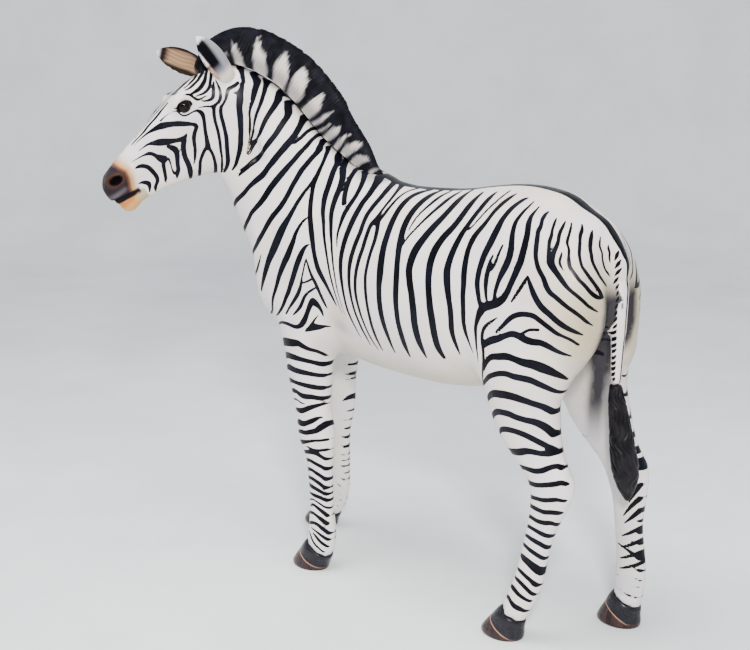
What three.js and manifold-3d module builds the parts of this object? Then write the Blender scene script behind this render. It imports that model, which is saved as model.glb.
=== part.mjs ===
import * as THREE from 'three';
import Module from 'manifold-3d';

// A life-size moulded figure of a standing Grevy's zebra, looking back over its left shoulder.
// Millimetres. +X is the animal's left, +Y its tail end, +Z up. The floor is z = 0.
// The flesh is one soft form, a smooth union of limbs and muscles, parted into pieces by thin cuts.

const GAP = 0.3;                 // clear space between neighbouring pieces
const ORIGIN_SHIFT = [-177.55, 204.64];  // x and y, puts the middle of the whole footprint on the origin

const HEAD_POLL = [215, -915, 1800];   // where the skull's own axes start
const HEAD_TURN = 63;                  // degrees to the animal's left
const HEAD_NOD = 35.5;                 // degrees nose down
// The cut behind the cheek and under the jaw, in the head's own axes
const HEAD_CUT = { slope: 0.4, at: -43, floor: -290 };
const NECK_CUT = { normal: [0.134, -0.63, 0.765], through: [20, -585, 1265] };
const LEG_CUT_FRONT = 806;
const LEG_CUT_HIND = 812;
const MANE_ROOT = 16;                  // how deep the mane is let into the crest
const EYE_RADIUS = 27;
const EYE_AT = [84, -176, 29];         // left eye in the head's own axes, the right one mirrors it

// ---- Station tables ------------------------------------------------------------------------

// Barrel of the body, rear to front: x, y, top, bottom, widest height, half width
const TRUNK = [
  [0, 570, 1404, 990, 1215, 180],
  [0, 500, 1444, 940, 1210, 208],
  [0, 430, 1477, 890, 1185, 232],
  [0, 323, 1486, 832, 1160, 250],
  [0, 210, 1476, 796, 1120, 266],
  [0, 100, 1459, 776, 1090, 277],
  [0, 0, 1453, 772, 1080, 277],
  [0, -150, 1452, 778, 1085, 264],
  [2, -290, 1462, 789, 1095, 246],
  [8, -400, 1475, 806, 1105, 228],
  [18, -500, 1462, 828, 1110, 212],
  [36, -600, 1405, 858, 1110, 196],
  [62, -690, 1320, 905, 1105, 172],
];

// Croup running down into the root of the tail: x, y, z, up, down, half width
const DOCK = [
  [0, 440, 1380, 92, 100, 96],
  [0, 520, 1338, 84, 90, 84],
  [0, 600, 1302, 70, 80, 66],
  [1, 654, 1270, 52, 50, 47],
  [2, 672, 1230, 37, 36, 40],
  [3, 674, 1200, 35, 34, 36],
];

// Neck, root to poll: x, y, z, up, down, half width
const NECK = [
  [10, -430, 1170, 330, 330, 190],
  [26, -540, 1235, 322, 300, 174],
  [66, -656, 1335, 290, 246, 146],
  [108, -744, 1462, 252, 204, 124],
  [146, -810, 1578, 226, 172, 108],
  [178, -862, 1670, 200, 152, 98],
  [212, -905, 1745, 160, 150, 90],
];

// Fin of the moulded mane on the crest, withers to forelock: x, y, z, height, half width
const MANE = [
  [2, -292, 1455, 12, 16],
  [6, -350, 1490, 34, 24],
  [10, -409, 1531, 70, 31],
  [26, -533, 1619, 118, 36],
  [45, -598, 1687, 132, 37],
  [68, -660, 1757, 134, 38],
  [103, -741, 1828, 134, 38],
  [160, -838, 1878, 128, 38],
  [212, -902, 1884, 100, 36],
  [250, -936, 1862, 66, 34],
  [284, -956, 1832, 34, 28],
];

// Legs, top to bottom: z, front y, back y, middle x, half width
const FORE_LEG = [
  [1090, -700, -420, 130, 70],
  [960, -672, -402, 150, 84],
  [872, -644, -412, 158, 84],
  [799, -622, -420, 165, 76],
  [724, -606, -421, 167, 69],
  [648, -586, -426, 168, 61],
  [574, -568, -412, 168, 59],
  [536, -566, -407, 168, 60],
  [498, -556, -406, 168, 58],
  [461, -538, -410, 168, 50],
  [400, -522, -413, 168, 44],
  [300, -510, -411, 169, 40],
  [200, -508, -402, 171, 43],
  [150, -513, -395, 173, 46],
  [105, -518, -399, 175, 47],
  [50, -540, -414, 176, 47],
];
const HIND_LEG = [
  [1290, 300, 610, 130, 92],
  [1170, 262, 668, 138, 102],
  [1060, 256, 662, 146, 104],
  [950, 276, 632, 154, 102],
  [882, 292, 594, 158, 96],
  [816, 304, 570, 160, 88],
  [752, 325, 570, 158, 80],
  [690, 354, 578, 155, 71],
  [640, 394, 592, 152, 61],
  [602, 430, 613, 152, 57],
  [573, 456, 630, 152, 55],
  [540, 472, 628, 152, 53],
  [506, 476, 619, 152, 50],
  [434, 470, 586, 153, 42],
  [361, 456, 558, 155, 38],
  [288, 442, 545, 158, 38],
  [215, 424, 531, 162, 42],
  [165, 406, 516, 164, 46],
  [110, 386, 488, 168, 45],
  [45, 362, 456, 170, 45],
];

// How far each right leg stands ahead of (-) or behind (+) its fellow: z, shift
const RIGHT_FORE_SHIFT = [[1090, -120], [800, -166], [650, -186], [460, -222], [220, -240], [60, -290]];
const RIGHT_HIND_SHIFT = [
  [1290, -16], [1170, -12], [1000, 2], [880, 32], [763, 62], [650, 80],
  [540, 92], [440, 126], [360, 148], [300, 166], [160, 205], [60, 236],
];

// Muscles and bones under the skin: x, y, z, then the three radii, then a turn about x in degrees
const MUSCLES = [
  [120, -560, 1230, 88, 130, 215, 22],    // left shoulder blade
  [-90, -640, 1230, 88, 130, 215, 22],    // right shoulder blade
  [158, -640, 1040, 62, 92, 92, 0],       // left point of shoulder
  [-128, -745, 1040, 62, 92, 92, 0],      // right point of shoulder
  [160, -470, 960, 66, 78, 92, 0],        // left elbow
  [-150, -610, 960, 66, 78, 92, 0],       // right elbow
  [150, 410, 1300, 84, 150, 112, 0],      // left hip
  [-150, 410, 1300, 84, 150, 112, 0],     // right hip
  [120, 552, 1170, 84, 128, 160, 0],      // left buttock
  [-112, 514, 1170, 82, 120, 158, 0],     // right buttock
  [168, 340, 975, 64, 80, 110, 0],        // left stifle
  [-168, 372, 965, 64, 80, 110, 0],       // right stifle
];

// Skull along its own axes, back to front: y, top, bottom, widest height, half width
const SKULL = [
  [60, 50, -170, -20, 62],
  [0, 72, -170, 0, 80],
  [-80, 82, -160, 5, 88],
  [-180, 83, -150, 10, 90],
  [-280, 64, -140, -10, 74],
  [-360, 43, -135, -30, 60],
  [-440, 24, -125, -48, 51],
  [-510, 8, -112, -50, 52],
  [-556, -12, -104, -56, 52],
];
const JAW = [
  [-60, -70, -200, -140, 56],
  [-120, -80, -232, -150, 62],
  [-200, -90, -250, -160, 58],
  [-280, -90, -222, -150, 45],
  [-360, -95, -194, -140, 37],
  [-450, -98, -172, -132, 33],
  [-500, -104, -166, -134, 34],
  [-540, -112, -176, -144, 35],
];
const FACE = [
  [74, -176, 56, 30, 46, 26, 0],      // left brow
  [-74, -176, 56, 30, 46, 26, 0],     // right brow
  [40, -526, -40, 26, 40, 34, 0],     // left nostril
  [-40, -526, -40, 26, 40, 34, 0],    // right nostril
  [50, -126, -140, 34, 90, 90, 0],    // left cheek
  [-50, -126, -140, 34, 90, 90, 0],   // right cheek
  [0, -556, -82, 46, 36, 34, 0],      // upper lip
  [0, -20, 48, 50, 56, 40, 0],        // poll
];

// Ears in the head's own axes: the root, the tip, and the way the cup faces
const LEFT_EAR = { root: [64, 19, 8], tip: [108, 0, 203], facing: [-0.9, -0.42, 0] };
const RIGHT_EAR = { root: [-62, -8, 62], tip: [-160, -103, 217], facing: [0.75, -0.6, 0.1] };
// Along an ear, root to tip: share of the length, half width, depth of the back, front of the cup
const EAR_SECTIONS = [
  [0, 31, 26, 20],
  [0.15, 39, 29, 10],
  [0.32, 47, 29, -19],
  [0.55, 49, 25, -18],
  [0.78, 37, 17, -11],
  [0.93, 18, 9, -4],
  [1, 3, 3, 1],
];

// Tail: x, y, z, half depth, half width
const TAIL = [
  [3, 674, 1200, 34, 34],
  [3, 676, 1150, 31, 31],
  [2, 677, 1080, 27, 27],
  [1, 677, 1000, 23, 23],
  [0, 676, 930, 20, 20],
  [0, 676, 874, 17, 17],
];
const TUFT = [
  [0, 676, 873.7, 18, 18],
  [-1, 680, 840, 24, 24],
  [-4, 689, 780, 31, 30],
  [-9, 700, 700, 38, 37],
  [-14, 708, 640, 43, 41],
  [-20, 713, 585, 42, 40],
  [-28, 714, 535, 28, 28],
  [-38, 713, 490, 6, 7],
];

// Hooves: the middle of the sole, the length, the width
const HOOF = { length: 160, width: 118, front: 108, back: 48, set: 50 };
const HOOVES = {
  hoof_front_left: [176, -508],
  hoof_front_right: [-178, -798],
  hoof_hind_left: [171, 388],
  hoof_hind_right: [-171, 628],
};

// ---- Soft forms ----------------------------------------------------------------------------

// Smooth interpolation of a table whose first column rises or falls.
function at(table, s) {
  const dir = Math.sign(table[table.length - 1][0] - table[0][0]);
  const last = table.length - 1;
  let i = 0;
  while (i < last - 1 && (s - table[i + 1][0]) * dir > 0) i++;
  const a = table[Math.max(i - 1, 0)];
  const b = table[i];
  const c = table[i + 1];
  const d = table[Math.min(i + 2, last)];
  const t = THREE.MathUtils.clamp((s - b[0]) / (c[0] - b[0]), 0, 1);
  return b.map((v, k) => {
    const m0 = (c[k] - a[k]) / (c[0] - a[0]) * (c[0] - b[0]);
    const m1 = (d[k] - v) / (d[0] - b[0]) * (c[0] - b[0]);
    const t2 = t * t;
    const t3 = t2 * t;
    return (2 * t3 - 3 * t2 + 1) * v + (t3 - 2 * t2 + t) * m0 + (3 * t2 - 2 * t3) * c[k] + (t3 - t2) * m1;
  });
}

const smin = (a, b, k) => {
  const h = Math.max(k - Math.abs(a - b), 0) / k;
  return Math.min(a, b) - h * h * k / 4;
};

// Distance to an oval section: offsets u and s from its middle, half sizes h and w, cap offset e of size c.
function oval(u, s, h, w, e, c) {
  const rho = Math.hypot(u / h, s / w, e / c);
  if (rho < 1e-4) return -Math.min(h, w);
  return Math.hypot(u, s, e) * (1 - 1 / rho);
}

// A form with level sections. rows: z, front y, back y, x, half width; shift moves it along y.
function post(rows, { mirror = 1, shift = null, cap = 40 } = {}) {
  const top = rows[0][0];
  const foot = rows[rows.length - 1][0];
  return (x, y, z) => {
    const s = THREE.MathUtils.clamp(z, foot, top);
    const r = at(rows, s);
    const off = shift ? at(shift, s)[1] : 0;
    const mid = (r[1] + r[2]) / 2 + off;
    return oval(y - mid, x - r[3] * mirror, (r[2] - r[1]) / 2, r[4], z - s, cap);
  };
}

// A form with sections square to a level spine: rows: [x,] y, top, bottom, widest height, half width.
function beam(rows, { cap = [60, 60] } = {}) {
  const first = rows[0][0];
  const last = rows[rows.length - 1][0];
  return (x, y, z) => {
    const s = THREE.MathUtils.clamp(y, Math.min(first, last), Math.max(first, last));
    const r = at(rows, s);
    const x0 = r[5] ?? 0;
    const h = z > r[3] ? r[1] - r[3] : r[3] - r[2];
    const e = y - s;
    return oval(z - r[3], x - x0, h, r[4], e, e * (first - last) > 0 ? cap[0] : cap[1]);
  };
}

// A form swept along a free spine. rows: x, y, z, up, down, half width.
function limb(rows, cap = 60) {
  const n = (rows.length - 1) * 6;
  const table = rows.map((r, i) => [i, ...r]);
  const pts = Array.from({ length: n + 1 }, (_, i) => at(table, i / 6));
  const legs = pts.slice(0, -1).map((a, i) => {
    const b = pts[i + 1];
    const t = new THREE.Vector3(b[1] - a[1], b[2] - a[2], b[3] - a[3]);
    const length = t.length();
    t.normalize();
    const side = new THREE.Vector3(-t.y, t.x, 0).normalize();
    const up = new THREE.Vector3().crossVectors(t, side);
    return { a, b, t, length, side, up };
  });
  return (x, y, z) => {
    let best = Infinity;
    let hit = null;
    let where = 0;
    for (const leg of legs) {
      const dx = x - leg.a[1];
      const dy = y - leg.a[2];
      const dz = z - leg.a[3];
      const s = THREE.MathUtils.clamp((dx * leg.t.x + dy * leg.t.y + dz * leg.t.z) / leg.length, 0, 1);
      const q = s * leg.length;
      const d = Math.hypot(dx - leg.t.x * q, dy - leg.t.y * q, dz - leg.t.z * q);
      if (d < best) {
        best = d;
        hit = leg;
        where = s;
      }
    }
    const { a, b, t, side, up, length } = hit;
    const q = where * length;
    const dx = x - a[1] - t.x * q;
    const dy = y - a[2] - t.y * q;
    const dz = z - a[3] - t.z * q;
    const u = dx * up.x + dy * up.y + dz * up.z;
    const s = dx * side.x + dy * side.y;
    const e = dx * t.x + dy * t.y + dz * t.z;
    const k = u > 0 ? 4 : 5;
    const h = a[k] + (b[k] - a[k]) * where;
    return oval(u, s, h, a[6] + (b[6] - a[6]) * where, e, cap);
  };
}

function muscle([cx, cy, cz, rx, ry, rz, turn]) {
  const c = Math.cos(turn * Math.PI / 180);
  const s = Math.sin(turn * Math.PI / 180);
  return (x, y, z) => {
    const dy = y - cy;
    const dz = z - cz;
    return oval(dy * c + dz * s, x - cx, ry, rx, dz * c - dy * s, rz);
  };
}

// The head's own axes: x left, y back, z up out of the forehead.
const headGroup = new THREE.Group();
{
  const turn = HEAD_TURN * Math.PI / 180;
  const nod = HEAD_NOD * Math.PI / 180;
  headGroup.position.set(...HEAD_POLL);
  headGroup.rotation.set(nod, 0, turn, 'ZXY');
  headGroup.updateMatrix();
}
const toHead = headGroup.matrix.clone().invert();

const trunkRows = TRUNK.map(([x, y, top, bottom, wide, half]) => [y, top, bottom, wide, half, x]);
const forms = [
  [beam(trunkRows, { cap: [95, 130] }), 1],
  [limb(NECK, 70), 70],
  [limb(DOCK, 12), 40],
  [post(FORE_LEG), 46],
  [post(FORE_LEG, { mirror: -1, shift: RIGHT_FORE_SHIFT }), 46],
  [post(HIND_LEG), 74],
  [post(HIND_LEG, { mirror: -1, shift: RIGHT_HIND_SHIFT }), 74],
  ...MUSCLES.map((m) => [muscle(m), 60]),
];
const skull = [
  [beam(SKULL, { cap: [40, 34] }), 1],
  [beam(JAW, { cap: [30, 40] }), 22],
  ...FACE.map((m) => [muscle(m), 26]),
];
const blend = (list, x, y, z) => list.reduce((d, [form, k]) => smin(d, form(x, y, z), k), 1e3);

const point = new THREE.Vector3();
function flesh(x, y, z) {
  let d = blend(forms, x, y, z);
  point.set(x, y, z).applyMatrix4(toHead);
  return point.length() < 900 ? smin(d, blend(skull, point.x, point.y, point.z), 34) : d;
}

// ---- From soft form to facets --------------------------------------------------------------

const lines = (from, to, step) => {
  const n = Math.max(1, Math.round(Math.abs(to - from) / step));
  return Array.from({ length: n + 1 }, (_, i) => from + (to - from) * i / n);
};

// Facets of a soft form, on whichever nudge of the grid leaves the fewest edges without two clean sides.
function facets(form, grid) {
  const tries = [0, 3, -3, 6, -6, 9, -9, 12].map((nudge, i) => (
    gridFacets(form, grid.map((line, k) => line.map((v) => v + (k === i % 3 ? nudge : nudge / 2))))
  ));
  return tries.sort((a, b) => a.bad - b.bad)[0];
}

// One point to each cell the skin crosses, pulled onto the skin.
function gridFacets(form, [xs, ys, zs]) {
  const [nx, ny, nz] = [xs.length, ys.length, zs.length];
  const value = new Float64Array(nx * ny * nz);
  const id = (i, j, k) => (i * ny + j) * nz + k;
  for (let i = 0; i < nx; i++) {
    for (let j = 0; j < ny; j++) {
      for (let k = 0; k < nz; k++) {
        const edge = i === 0 || j === 0 || k === 0 || i === nx - 1 || j === ny - 1 || k === nz - 1;
        const v = form(xs[i], ys[j], zs[k]);
        value[id(i, j, k)] = edge ? Math.max(v, 1) : v || 1e-6;
      }
    }
  }
  const cell = new Int32Array(nx * ny * nz).fill(-1);
  const points = [];
  const corners = [0, 1, 2, 3, 4, 5, 6, 7].map((c) => [c & 1, (c >> 1) & 1, c >> 2]);
  const edges = [];
  for (let a = 0; a < 8; a++) {
    for (const bit of [1, 2, 4]) if (!(a & bit)) edges.push([corners[a], corners[a | bit]]);
  }
  for (let i = 0; i < nx - 1; i++) {
    for (let j = 0; j < ny - 1; j++) {
      for (let k = 0; k < nz - 1; k++) {
        const sum = [0, 0, 0];
        let hits = 0;
        for (const [a, b] of edges) {
          const va = value[id(i + a[0], j + a[1], k + a[2])];
          const vb = value[id(i + b[0], j + b[1], k + b[2])];
          if ((va < 0) === (vb < 0)) continue;
          const t = va / (va - vb);
          sum[0] += xs[i + a[0]] + (xs[i + b[0]] - xs[i + a[0]]) * t;
          sum[1] += ys[j + a[1]] + (ys[j + b[1]] - ys[j + a[1]]) * t;
          sum[2] += zs[k + a[2]] + (zs[k + b[2]] - zs[k + a[2]]) * t;
          hits++;
        }
        if (!hits) continue;
        const reach = Math.min(xs[i + 1] - xs[i], ys[j + 1] - ys[j], zs[k + 1] - zs[k]) * 0.45;
        const onRim = i === 0 || j === 0 || k === 0 || i === nx - 2 || j === ny - 2 || k === nz - 2;
        const p = sum.map((v) => v / hits);
        cell[id(i, j, k)] = points.length;
        points.push(onRim ? p : pulled(form, p, reach));
      }
    }
  }
  const quads = [];
  const quad = (flip, a, b, c, d) => quads.push(flip ? [a, d, c, b] : [a, b, c, d]);
  for (let i = 0; i < nx - 1; i++) {
    for (let j = 0; j < ny - 1; j++) {
      for (let k = 0; k < nz - 1; k++) {
        const v = value[id(i, j, k)] < 0;
        const c = (a, b, d) => cell[id(i - a, j - b, k - d)];
        const crossed = (a, b, d) => v !== value[id(i + a, j + b, k + d)] < 0;
        if (j && k && crossed(1, 0, 0)) quad(!v, c(0, 1, 1), c(0, 0, 1), c(0, 0, 0), c(0, 1, 0));
        if (i && k && crossed(0, 1, 0)) quad(!v, c(1, 0, 1), c(1, 0, 0), c(0, 0, 0), c(0, 0, 1));
        if (i && j && crossed(0, 0, 1)) quad(!v, c(1, 1, 0), c(0, 1, 0), c(0, 0, 0), c(1, 0, 0));
      }
    }
  }
  const uses = new Map();
  for (const q of quads) {
    q.forEach((a, i) => uses.set(key(a, q[(i + 1) % 4]), (uses.get(key(a, q[(i + 1) % 4])) ?? 0) + 1));
  }
  const bad = [...uses.values()].filter((n) => n !== 2).length;
  return { points, tris: halved(points, quads), bad };
}

const key = (a, b) => (a < b ? a * 1e6 + b : b * 1e6 + a);

// Splits each four-sided facet across its shorter way, never along a line that is already used.
function halved(points, quads) {
  const used = new Set(quads.flatMap(([a, b, c, d]) => [key(a, b), key(b, c), key(c, d), key(d, a)]));
  const gap = (m, n) => Math.hypot(...points[m].map((v, w) => v - points[n][w]));
  return quads.flatMap(([a, b, c, d]) => {
    const first = !used.has(key(a, c)) && (used.has(key(b, d)) || gap(a, c) <= gap(b, d));
    used.add(first ? key(a, c) : key(b, d));
    return first ? [[a, b, c], [a, c, d]] : [[a, b, d], [b, c, d]];
  });
}

// Moves a point onto the skin, no further than reach.
function pulled(form, start, reach) {
  let p = start;
  for (let n = 0; n < 3; n++) {
    const v = form(...p);
    const g = [0, 1, 2].map((a) => form(...p.map((w, b) => w + (a === b ? 0.5 : 0))) - v).map((d) => d / 0.5);
    const size = Math.max(Math.hypot(...g), 0.2);
    p = p.map((w, a) => w - THREE.MathUtils.clamp(v / size, -8, 8) * g[a] / size);
  }
  const gone = Math.hypot(...p.map((w, a) => w - start[a]));
  const k = gone > reach ? reach / gone : 1;
  return p.map((w, a) => start[a] + (w - start[a]) * k);
}

const wasm = await Module();
wasm.setup();

// A solid from points and facets, turned right side out.
function solid({ points, tris }) {
  const [a, b, c] = [0, 1, 2].map(() => new THREE.Vector3());
  const volume = tris.reduce((sum, t) => {
    [a, b, c].forEach((v, i) => v.fromArray(points[t[i]]));
    return sum + a.dot(b.cross(c));
  }, 0);
  return new wasm.Manifold(new wasm.Mesh({
    numProp: 3,
    vertProperties: new Float32Array(points.flat()),
    triVerts: new Uint32Array(tris.flatMap((t) => (volume < 0 ? [t[0], t[2], t[1]] : t))),
  }));
}

// The largest piece of a cut solid, as a three.js geometry.
function geometryOf(body) {
  const pieces = body.decompose().sort((a, b) => b.volume() - a.volume());
  const mesh = pieces[0].getMesh();
  const geometry = new THREE.BufferGeometry();
  const xyz = new Float32Array(mesh.numVert * 3);
  for (let i = 0; i < mesh.numVert; i++) {
    for (let k = 0; k < 3; k++) xyz[i * 3 + k] = mesh.vertProperties[i * mesh.numProp + k];
  }
  geometry.setAttribute('position', new THREE.BufferAttribute(xyz, 3));
  geometry.setIndex(Array.from(mesh.triVerts));
  return geometry;
}

// A closed solid through equal rings of points, each end closed on its middle.
function loft(rings) {
  const n = rings[0].length;
  const points = rings.flat();
  const tris = [];
  for (let r = 0; r < rings.length - 1; r++) {
    for (let i = 0; i < n; i++) {
      const [a, b] = [r * n + i, r * n + (i + 1) % n];
      tris.push([a, b, b + n], [a, b + n, a + n]);
    }
  }
  const middle = (ring) => [0, 1, 2].map((k) => ring.reduce((s, p) => s + p[k], 0) / n);
  const last = (rings.length - 1) * n;
  points.push(middle(rings[0]), middle(rings[rings.length - 1]));
  for (let i = 0; i < n; i++) {
    tris.push([points.length - 2, (i + 1) % n, i]);
    tris.push([points.length - 1, last + i, last + (i + 1) % n]);
  }
  return { points, tris };
}

function box(x0, x1, y0, y1, z0, z1) {
  const ring = (z) => [[x0, y0, z], [x1, y0, z], [x1, y1, z], [x0, y1, z]];
  return solid(loft([ring(z0), ring(z1)]));
}

const unit = (v) => new THREE.Vector3(...v).normalize().toArray();
const dot = (a, b) => a[0] * b[0] + a[1] * b[1] + a[2] * b[2];

// ---- Cutters -------------------------------------------------------------------------------

const neckNormal = unit(NECK_CUT.normal);
const neckAt = dot(neckNormal, NECK_CUT.through);

// The block that parts the head from the neck, in the head's own axes.
function headBlock(grow) {
  const { slope, at: back, floor } = HEAD_CUT;
  const lean = (z) => back * -1 + slope * z + grow * Math.hypot(1, slope);
  const ring = (x) => [
    [x, lean(floor - grow), floor - grow], [x, -900, floor - grow], [x, -900, 320], [x, lean(320), 320],
  ];
  return solid(loft([ring(-320), ring(320)]));
}

// The moulded mane: an upright fin along the crest, its root let into the neck.
function maneSolid(grow) {
  const table = MANE.map((r, i) => [i, ...r]);
  const last = MANE.length - 1;
  const rings = lines(0, last, 0.5).map((s) => {
    const [, x, y, z, high, wide] = at(table, s);
    const ahead = at(table, Math.min(s + 0.1, last));
    const behind = at(table, Math.max(s - 0.1, 0));
    const t = new THREE.Vector3(...[1, 2, 3].map((k) => ahead[k] - behind[k])).normalize();
    const side = new THREE.Vector3(-t.y, t.x, 0).normalize();
    const up = new THREE.Vector3().crossVectors(t, side);
    const over = s === 0 ? -grow : s === last ? grow : 0;
    const foot = new THREE.Vector3(x, y, z).addScaledVector(t, over);
    const arc = lines(0, 180, 20).map((deg) => {
      const a = deg * Math.PI / 180;
      return [(wide + grow) * Math.cos(a), (high + grow) * Math.sin(a)];
    });
    const root = [[-wide - grow, -MANE_ROOT - grow], [wide + grow, -MANE_ROOT - grow]];
    return [...arc, ...root].map(([w, h]) => (
      foot.clone().addScaledVector(side, w).addScaledVector(up, h).toArray()
    ));
  });
  return solid(loft(rings));
}

const legBoxes = (grow) => [
  box(20, 400, -760, -330, -50, LEG_CUT_FRONT + grow),
  box(-400, -20, -980, -330, -50, LEG_CUT_FRONT + grow),
  box(20, 400, 230, 800, -50, LEG_CUT_HIND + grow),
  box(-400, -20, 230, 900, -50, LEG_CUT_HIND + grow),
];

// ---- Pieces --------------------------------------------------------------------------------

function paint(colour, roughness = 0.35) {
  return new THREE.MeshStandardMaterial({ color: colour, roughness, metalness: 0 });
}
const WHITE = '#ded5d0';
const BLACK = '#191a22';
const HORN = '#2b1d1c';

function piece(name, geometry, material) {
  const mesh = new THREE.Mesh(geometry, material);
  mesh.name = name;
  return mesh;
}

// Barrel, shoulders and haunches
function makeTrunk() {
  const grid = [
    lines(-345, 345, 55),
    [...lines(-1000, -350, 59), ...lines(-280, 220, 72), ...lines(280, 800, 58)],
    [...lines(745, 1000, 50), ...lines(1055, 1560, 62)],
  ];
  let body = solid(facets(flesh, grid)).trimByPlane(neckNormal.map((v) => -v), -neckAt + GAP / 2);
  for (const cutter of legBoxes(GAP)) body = body.subtract(cutter);
  return geometryOf(body.subtract(solid(tube(TAIL, 12, GAP))).subtract(maneSolid(GAP)));
}

function makeNeck() {
  const grid = [lines(-230, 400, 52), lines(-1020, -250, 55), lines(960, 1980, 56)];
  const body = solid(facets(flesh, grid)).trimByPlane(neckNormal, neckAt + GAP / 2);
  const head = headBlock(GAP).transform(headGroup.matrix.elements);
  const ear = earSolid(LEFT_EAR, GAP).transform(headGroup.matrix.elements);
  return geometryOf(body.subtract(head).subtract(maneSolid(GAP)).subtract(ear));
}

function makeLeg(x0, x1, y0, y1, cut, bay) {
  const heights = [...lines(20, 400, 47), ...lines(440, 660, 42), ...lines(705, cut + 66, 50)];
  return geometryOf(solid(facets(flesh, [lines(x0, x1, 27), lines(y0, y1, 31), heights])).intersect(bay));
}

function makeHead() {
  const p = new THREE.Vector3();
  const inHead = (x, y, z) => {
    p.set(x, y, z).applyMatrix4(headGroup.matrix);
    return flesh(p.x, p.y, p.z);
  };
  const grid = [lines(-150, 150, 27), lines(-625, 175, 33), lines(-330, 180, 28)];
  const mane = maneSolid(GAP).transform(toHead.elements);
  let body = solid(facets(inHead, grid)).intersect(headBlock(0)).subtract(mane);
  for (const side of [1, -1]) body = body.subtract(eyeBall(EYE_RADIUS + GAP, side));
  for (const ear of [LEFT_EAR, RIGHT_EAR]) body = body.subtract(earSolid(ear, GAP));
  return geometryOf(body);
}

function eyeBall(radius, side) {
  const rings = lines(-78, 78, 26).map((lat) => {
    const a = lat * Math.PI / 180;
    return lines(0, 337.5, 22.5).map((lon) => {
      const b = lon * Math.PI / 180;
      return [
        EYE_AT[0] * side + radius * Math.cos(a) * Math.cos(b),
        EYE_AT[1] + radius * Math.cos(a) * Math.sin(b),
        EYE_AT[2] + radius * Math.sin(a),
      ];
    });
  });
  return solid(loft(rings));
}

// Ear: a leaf-shaped cup, its two faces a few millimetres apart.
function earSolid({ root, tip, facing }, grow) {
  const foot = new THREE.Vector3(...root);
  const along = new THREE.Vector3(...tip).sub(foot);
  const front = new THREE.Vector3(...facing).projectOnPlane(along.clone().normalize()).normalize();
  const side = new THREE.Vector3().crossVectors(along, front).normalize();
  const rings = lines(0, 1, 0.125).map((s) => {
    const [, wide, back, cup] = at(EAR_SECTIONS, s);
    const up = s - (s ? 0 : grow / along.length());
    return lines(0, 337.5, 22.5).map((deg) => {
      const t = deg * Math.PI / 180;
      const depth = -(grow + (Math.sin(t) > 0 ? back : cup)) * Math.sin(t);
      return foot.clone().addScaledVector(along, up).addScaledVector(side, (wide + grow) * Math.cos(t))
        .addScaledVector(front, depth).toArray();
    });
  });
  return solid(loft(rings));
}

// A round bar down a table of x, y, z, half depth, half width, with level rings.
function tube(rows, around, grow = 0) {
  const table = rows.map((r, i) => [i, ...r]);
  const last = rows.length - 1;
  const rings = lines(0, last, 0.5).map((s) => {
    const [, x, y, z, deep, wide] = at(table, s);
    return lines(0, 360 - 360 / around, 360 / around).map((deg) => {
      const a = deg * Math.PI / 180;
      return [x + (wide + grow) * Math.cos(a), y + (deep + grow) * Math.sin(a), s > 0 ? z : z + grow];
    });
  });
  return loft(rings);
}

// Hoof: flat sole, sloping wall, its top matching the leg on the slant of the coronet.
function makeHoof([x, y], { n, at: level }) {
  const round = lines(0, 342, 18).map((deg) => deg * Math.PI / 180);
  const sole = (scale, dy, z) => round.map((a) => {
    const reach = Math.sin(a) > 0 ? 0.92 : 1.04;
    const [across, along] = [HOOF.width / 2 * scale, HOOF.length / 2 * scale * reach];
    return [x + across * Math.cos(a), y + dy + along * Math.sin(a), z];
  });
  const height = (px, py) => (level - GAP - n[0] * px - n[1] * py) / n[2];
  const coronet = round.map((a) => {
    let [near, far] = [5, 90];
    for (let i = 0; i < 24; i++) {
      const r = (near + far) / 2;
      const px = x + r * Math.cos(a);
      const py = y + HOOF.set + r * Math.sin(a);
      if (flesh(px, py, height(px, py)) < 0) near = r;
      else far = r;
    }
    const px = x + near * Math.cos(a);
    const py = y + HOOF.set + near * Math.sin(a);
    return [px, py, height(px, py)];
  });
  const low = sole(1, 0, 14);
  const wall = low.map((p, i) => p.map((v, k) => v + (coronet[i][k] - v) * (k === 2 ? 0.55 : 0.5)));
  return geometryOf(solid(loft([sole(0.95, 0, 0), low, wall, coronet])));
}

function coronetPlane([x, y]) {
  const n = unit([0, (HOOF.front - HOOF.back) / HOOF.set / 2.2, 1]);
  return { n, at: dot(n, [x, y + HOOF.set, (HOOF.front + HOOF.back) / 2]) };
}

const figure = new THREE.Group();
figure.position.set(ORIGIN_SHIFT[0], ORIGIN_SHIFT[1], 0);
figure.add(piece('trunk', makeTrunk(), paint(WHITE)));
figure.add(piece('neck', makeNeck(), paint(WHITE)));
figure.add(piece('mane', geometryOf(maneSolid(0)), paint(BLACK, 0.45)));
const bays = {
  leg_front_left: [60, 290, -720, -340, LEG_CUT_FRONT, 0, 'hoof_front_left'],
  leg_front_right: [-290, -60, -900, -480, LEG_CUT_FRONT, 1, 'hoof_front_right'],
  leg_hind_left: [40, 290, 270, 700, LEG_CUT_HIND, 2, 'hoof_hind_left'],
  leg_hind_right: [-290, -40, 320, 790, LEG_CUT_HIND, 3, 'hoof_hind_right'],
};
const boxes = legBoxes(0);
for (const [name, [x0, x1, y0, y1, cut, i, hoof]] of Object.entries(bays)) {
  const slant = coronetPlane(HOOVES[hoof]);
  const bay = boxes[i].trimByPlane(slant.n, slant.at);
  figure.add(piece(name, makeLeg(x0, x1, y0, y1, cut, bay), paint(WHITE)));
  figure.add(piece(hoof, makeHoof(HOOVES[hoof], slant), paint(HORN, 0.3)));
}
figure.add(piece('tail', geometryOf(solid(tube(TAIL, 12))), paint(WHITE)));
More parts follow.
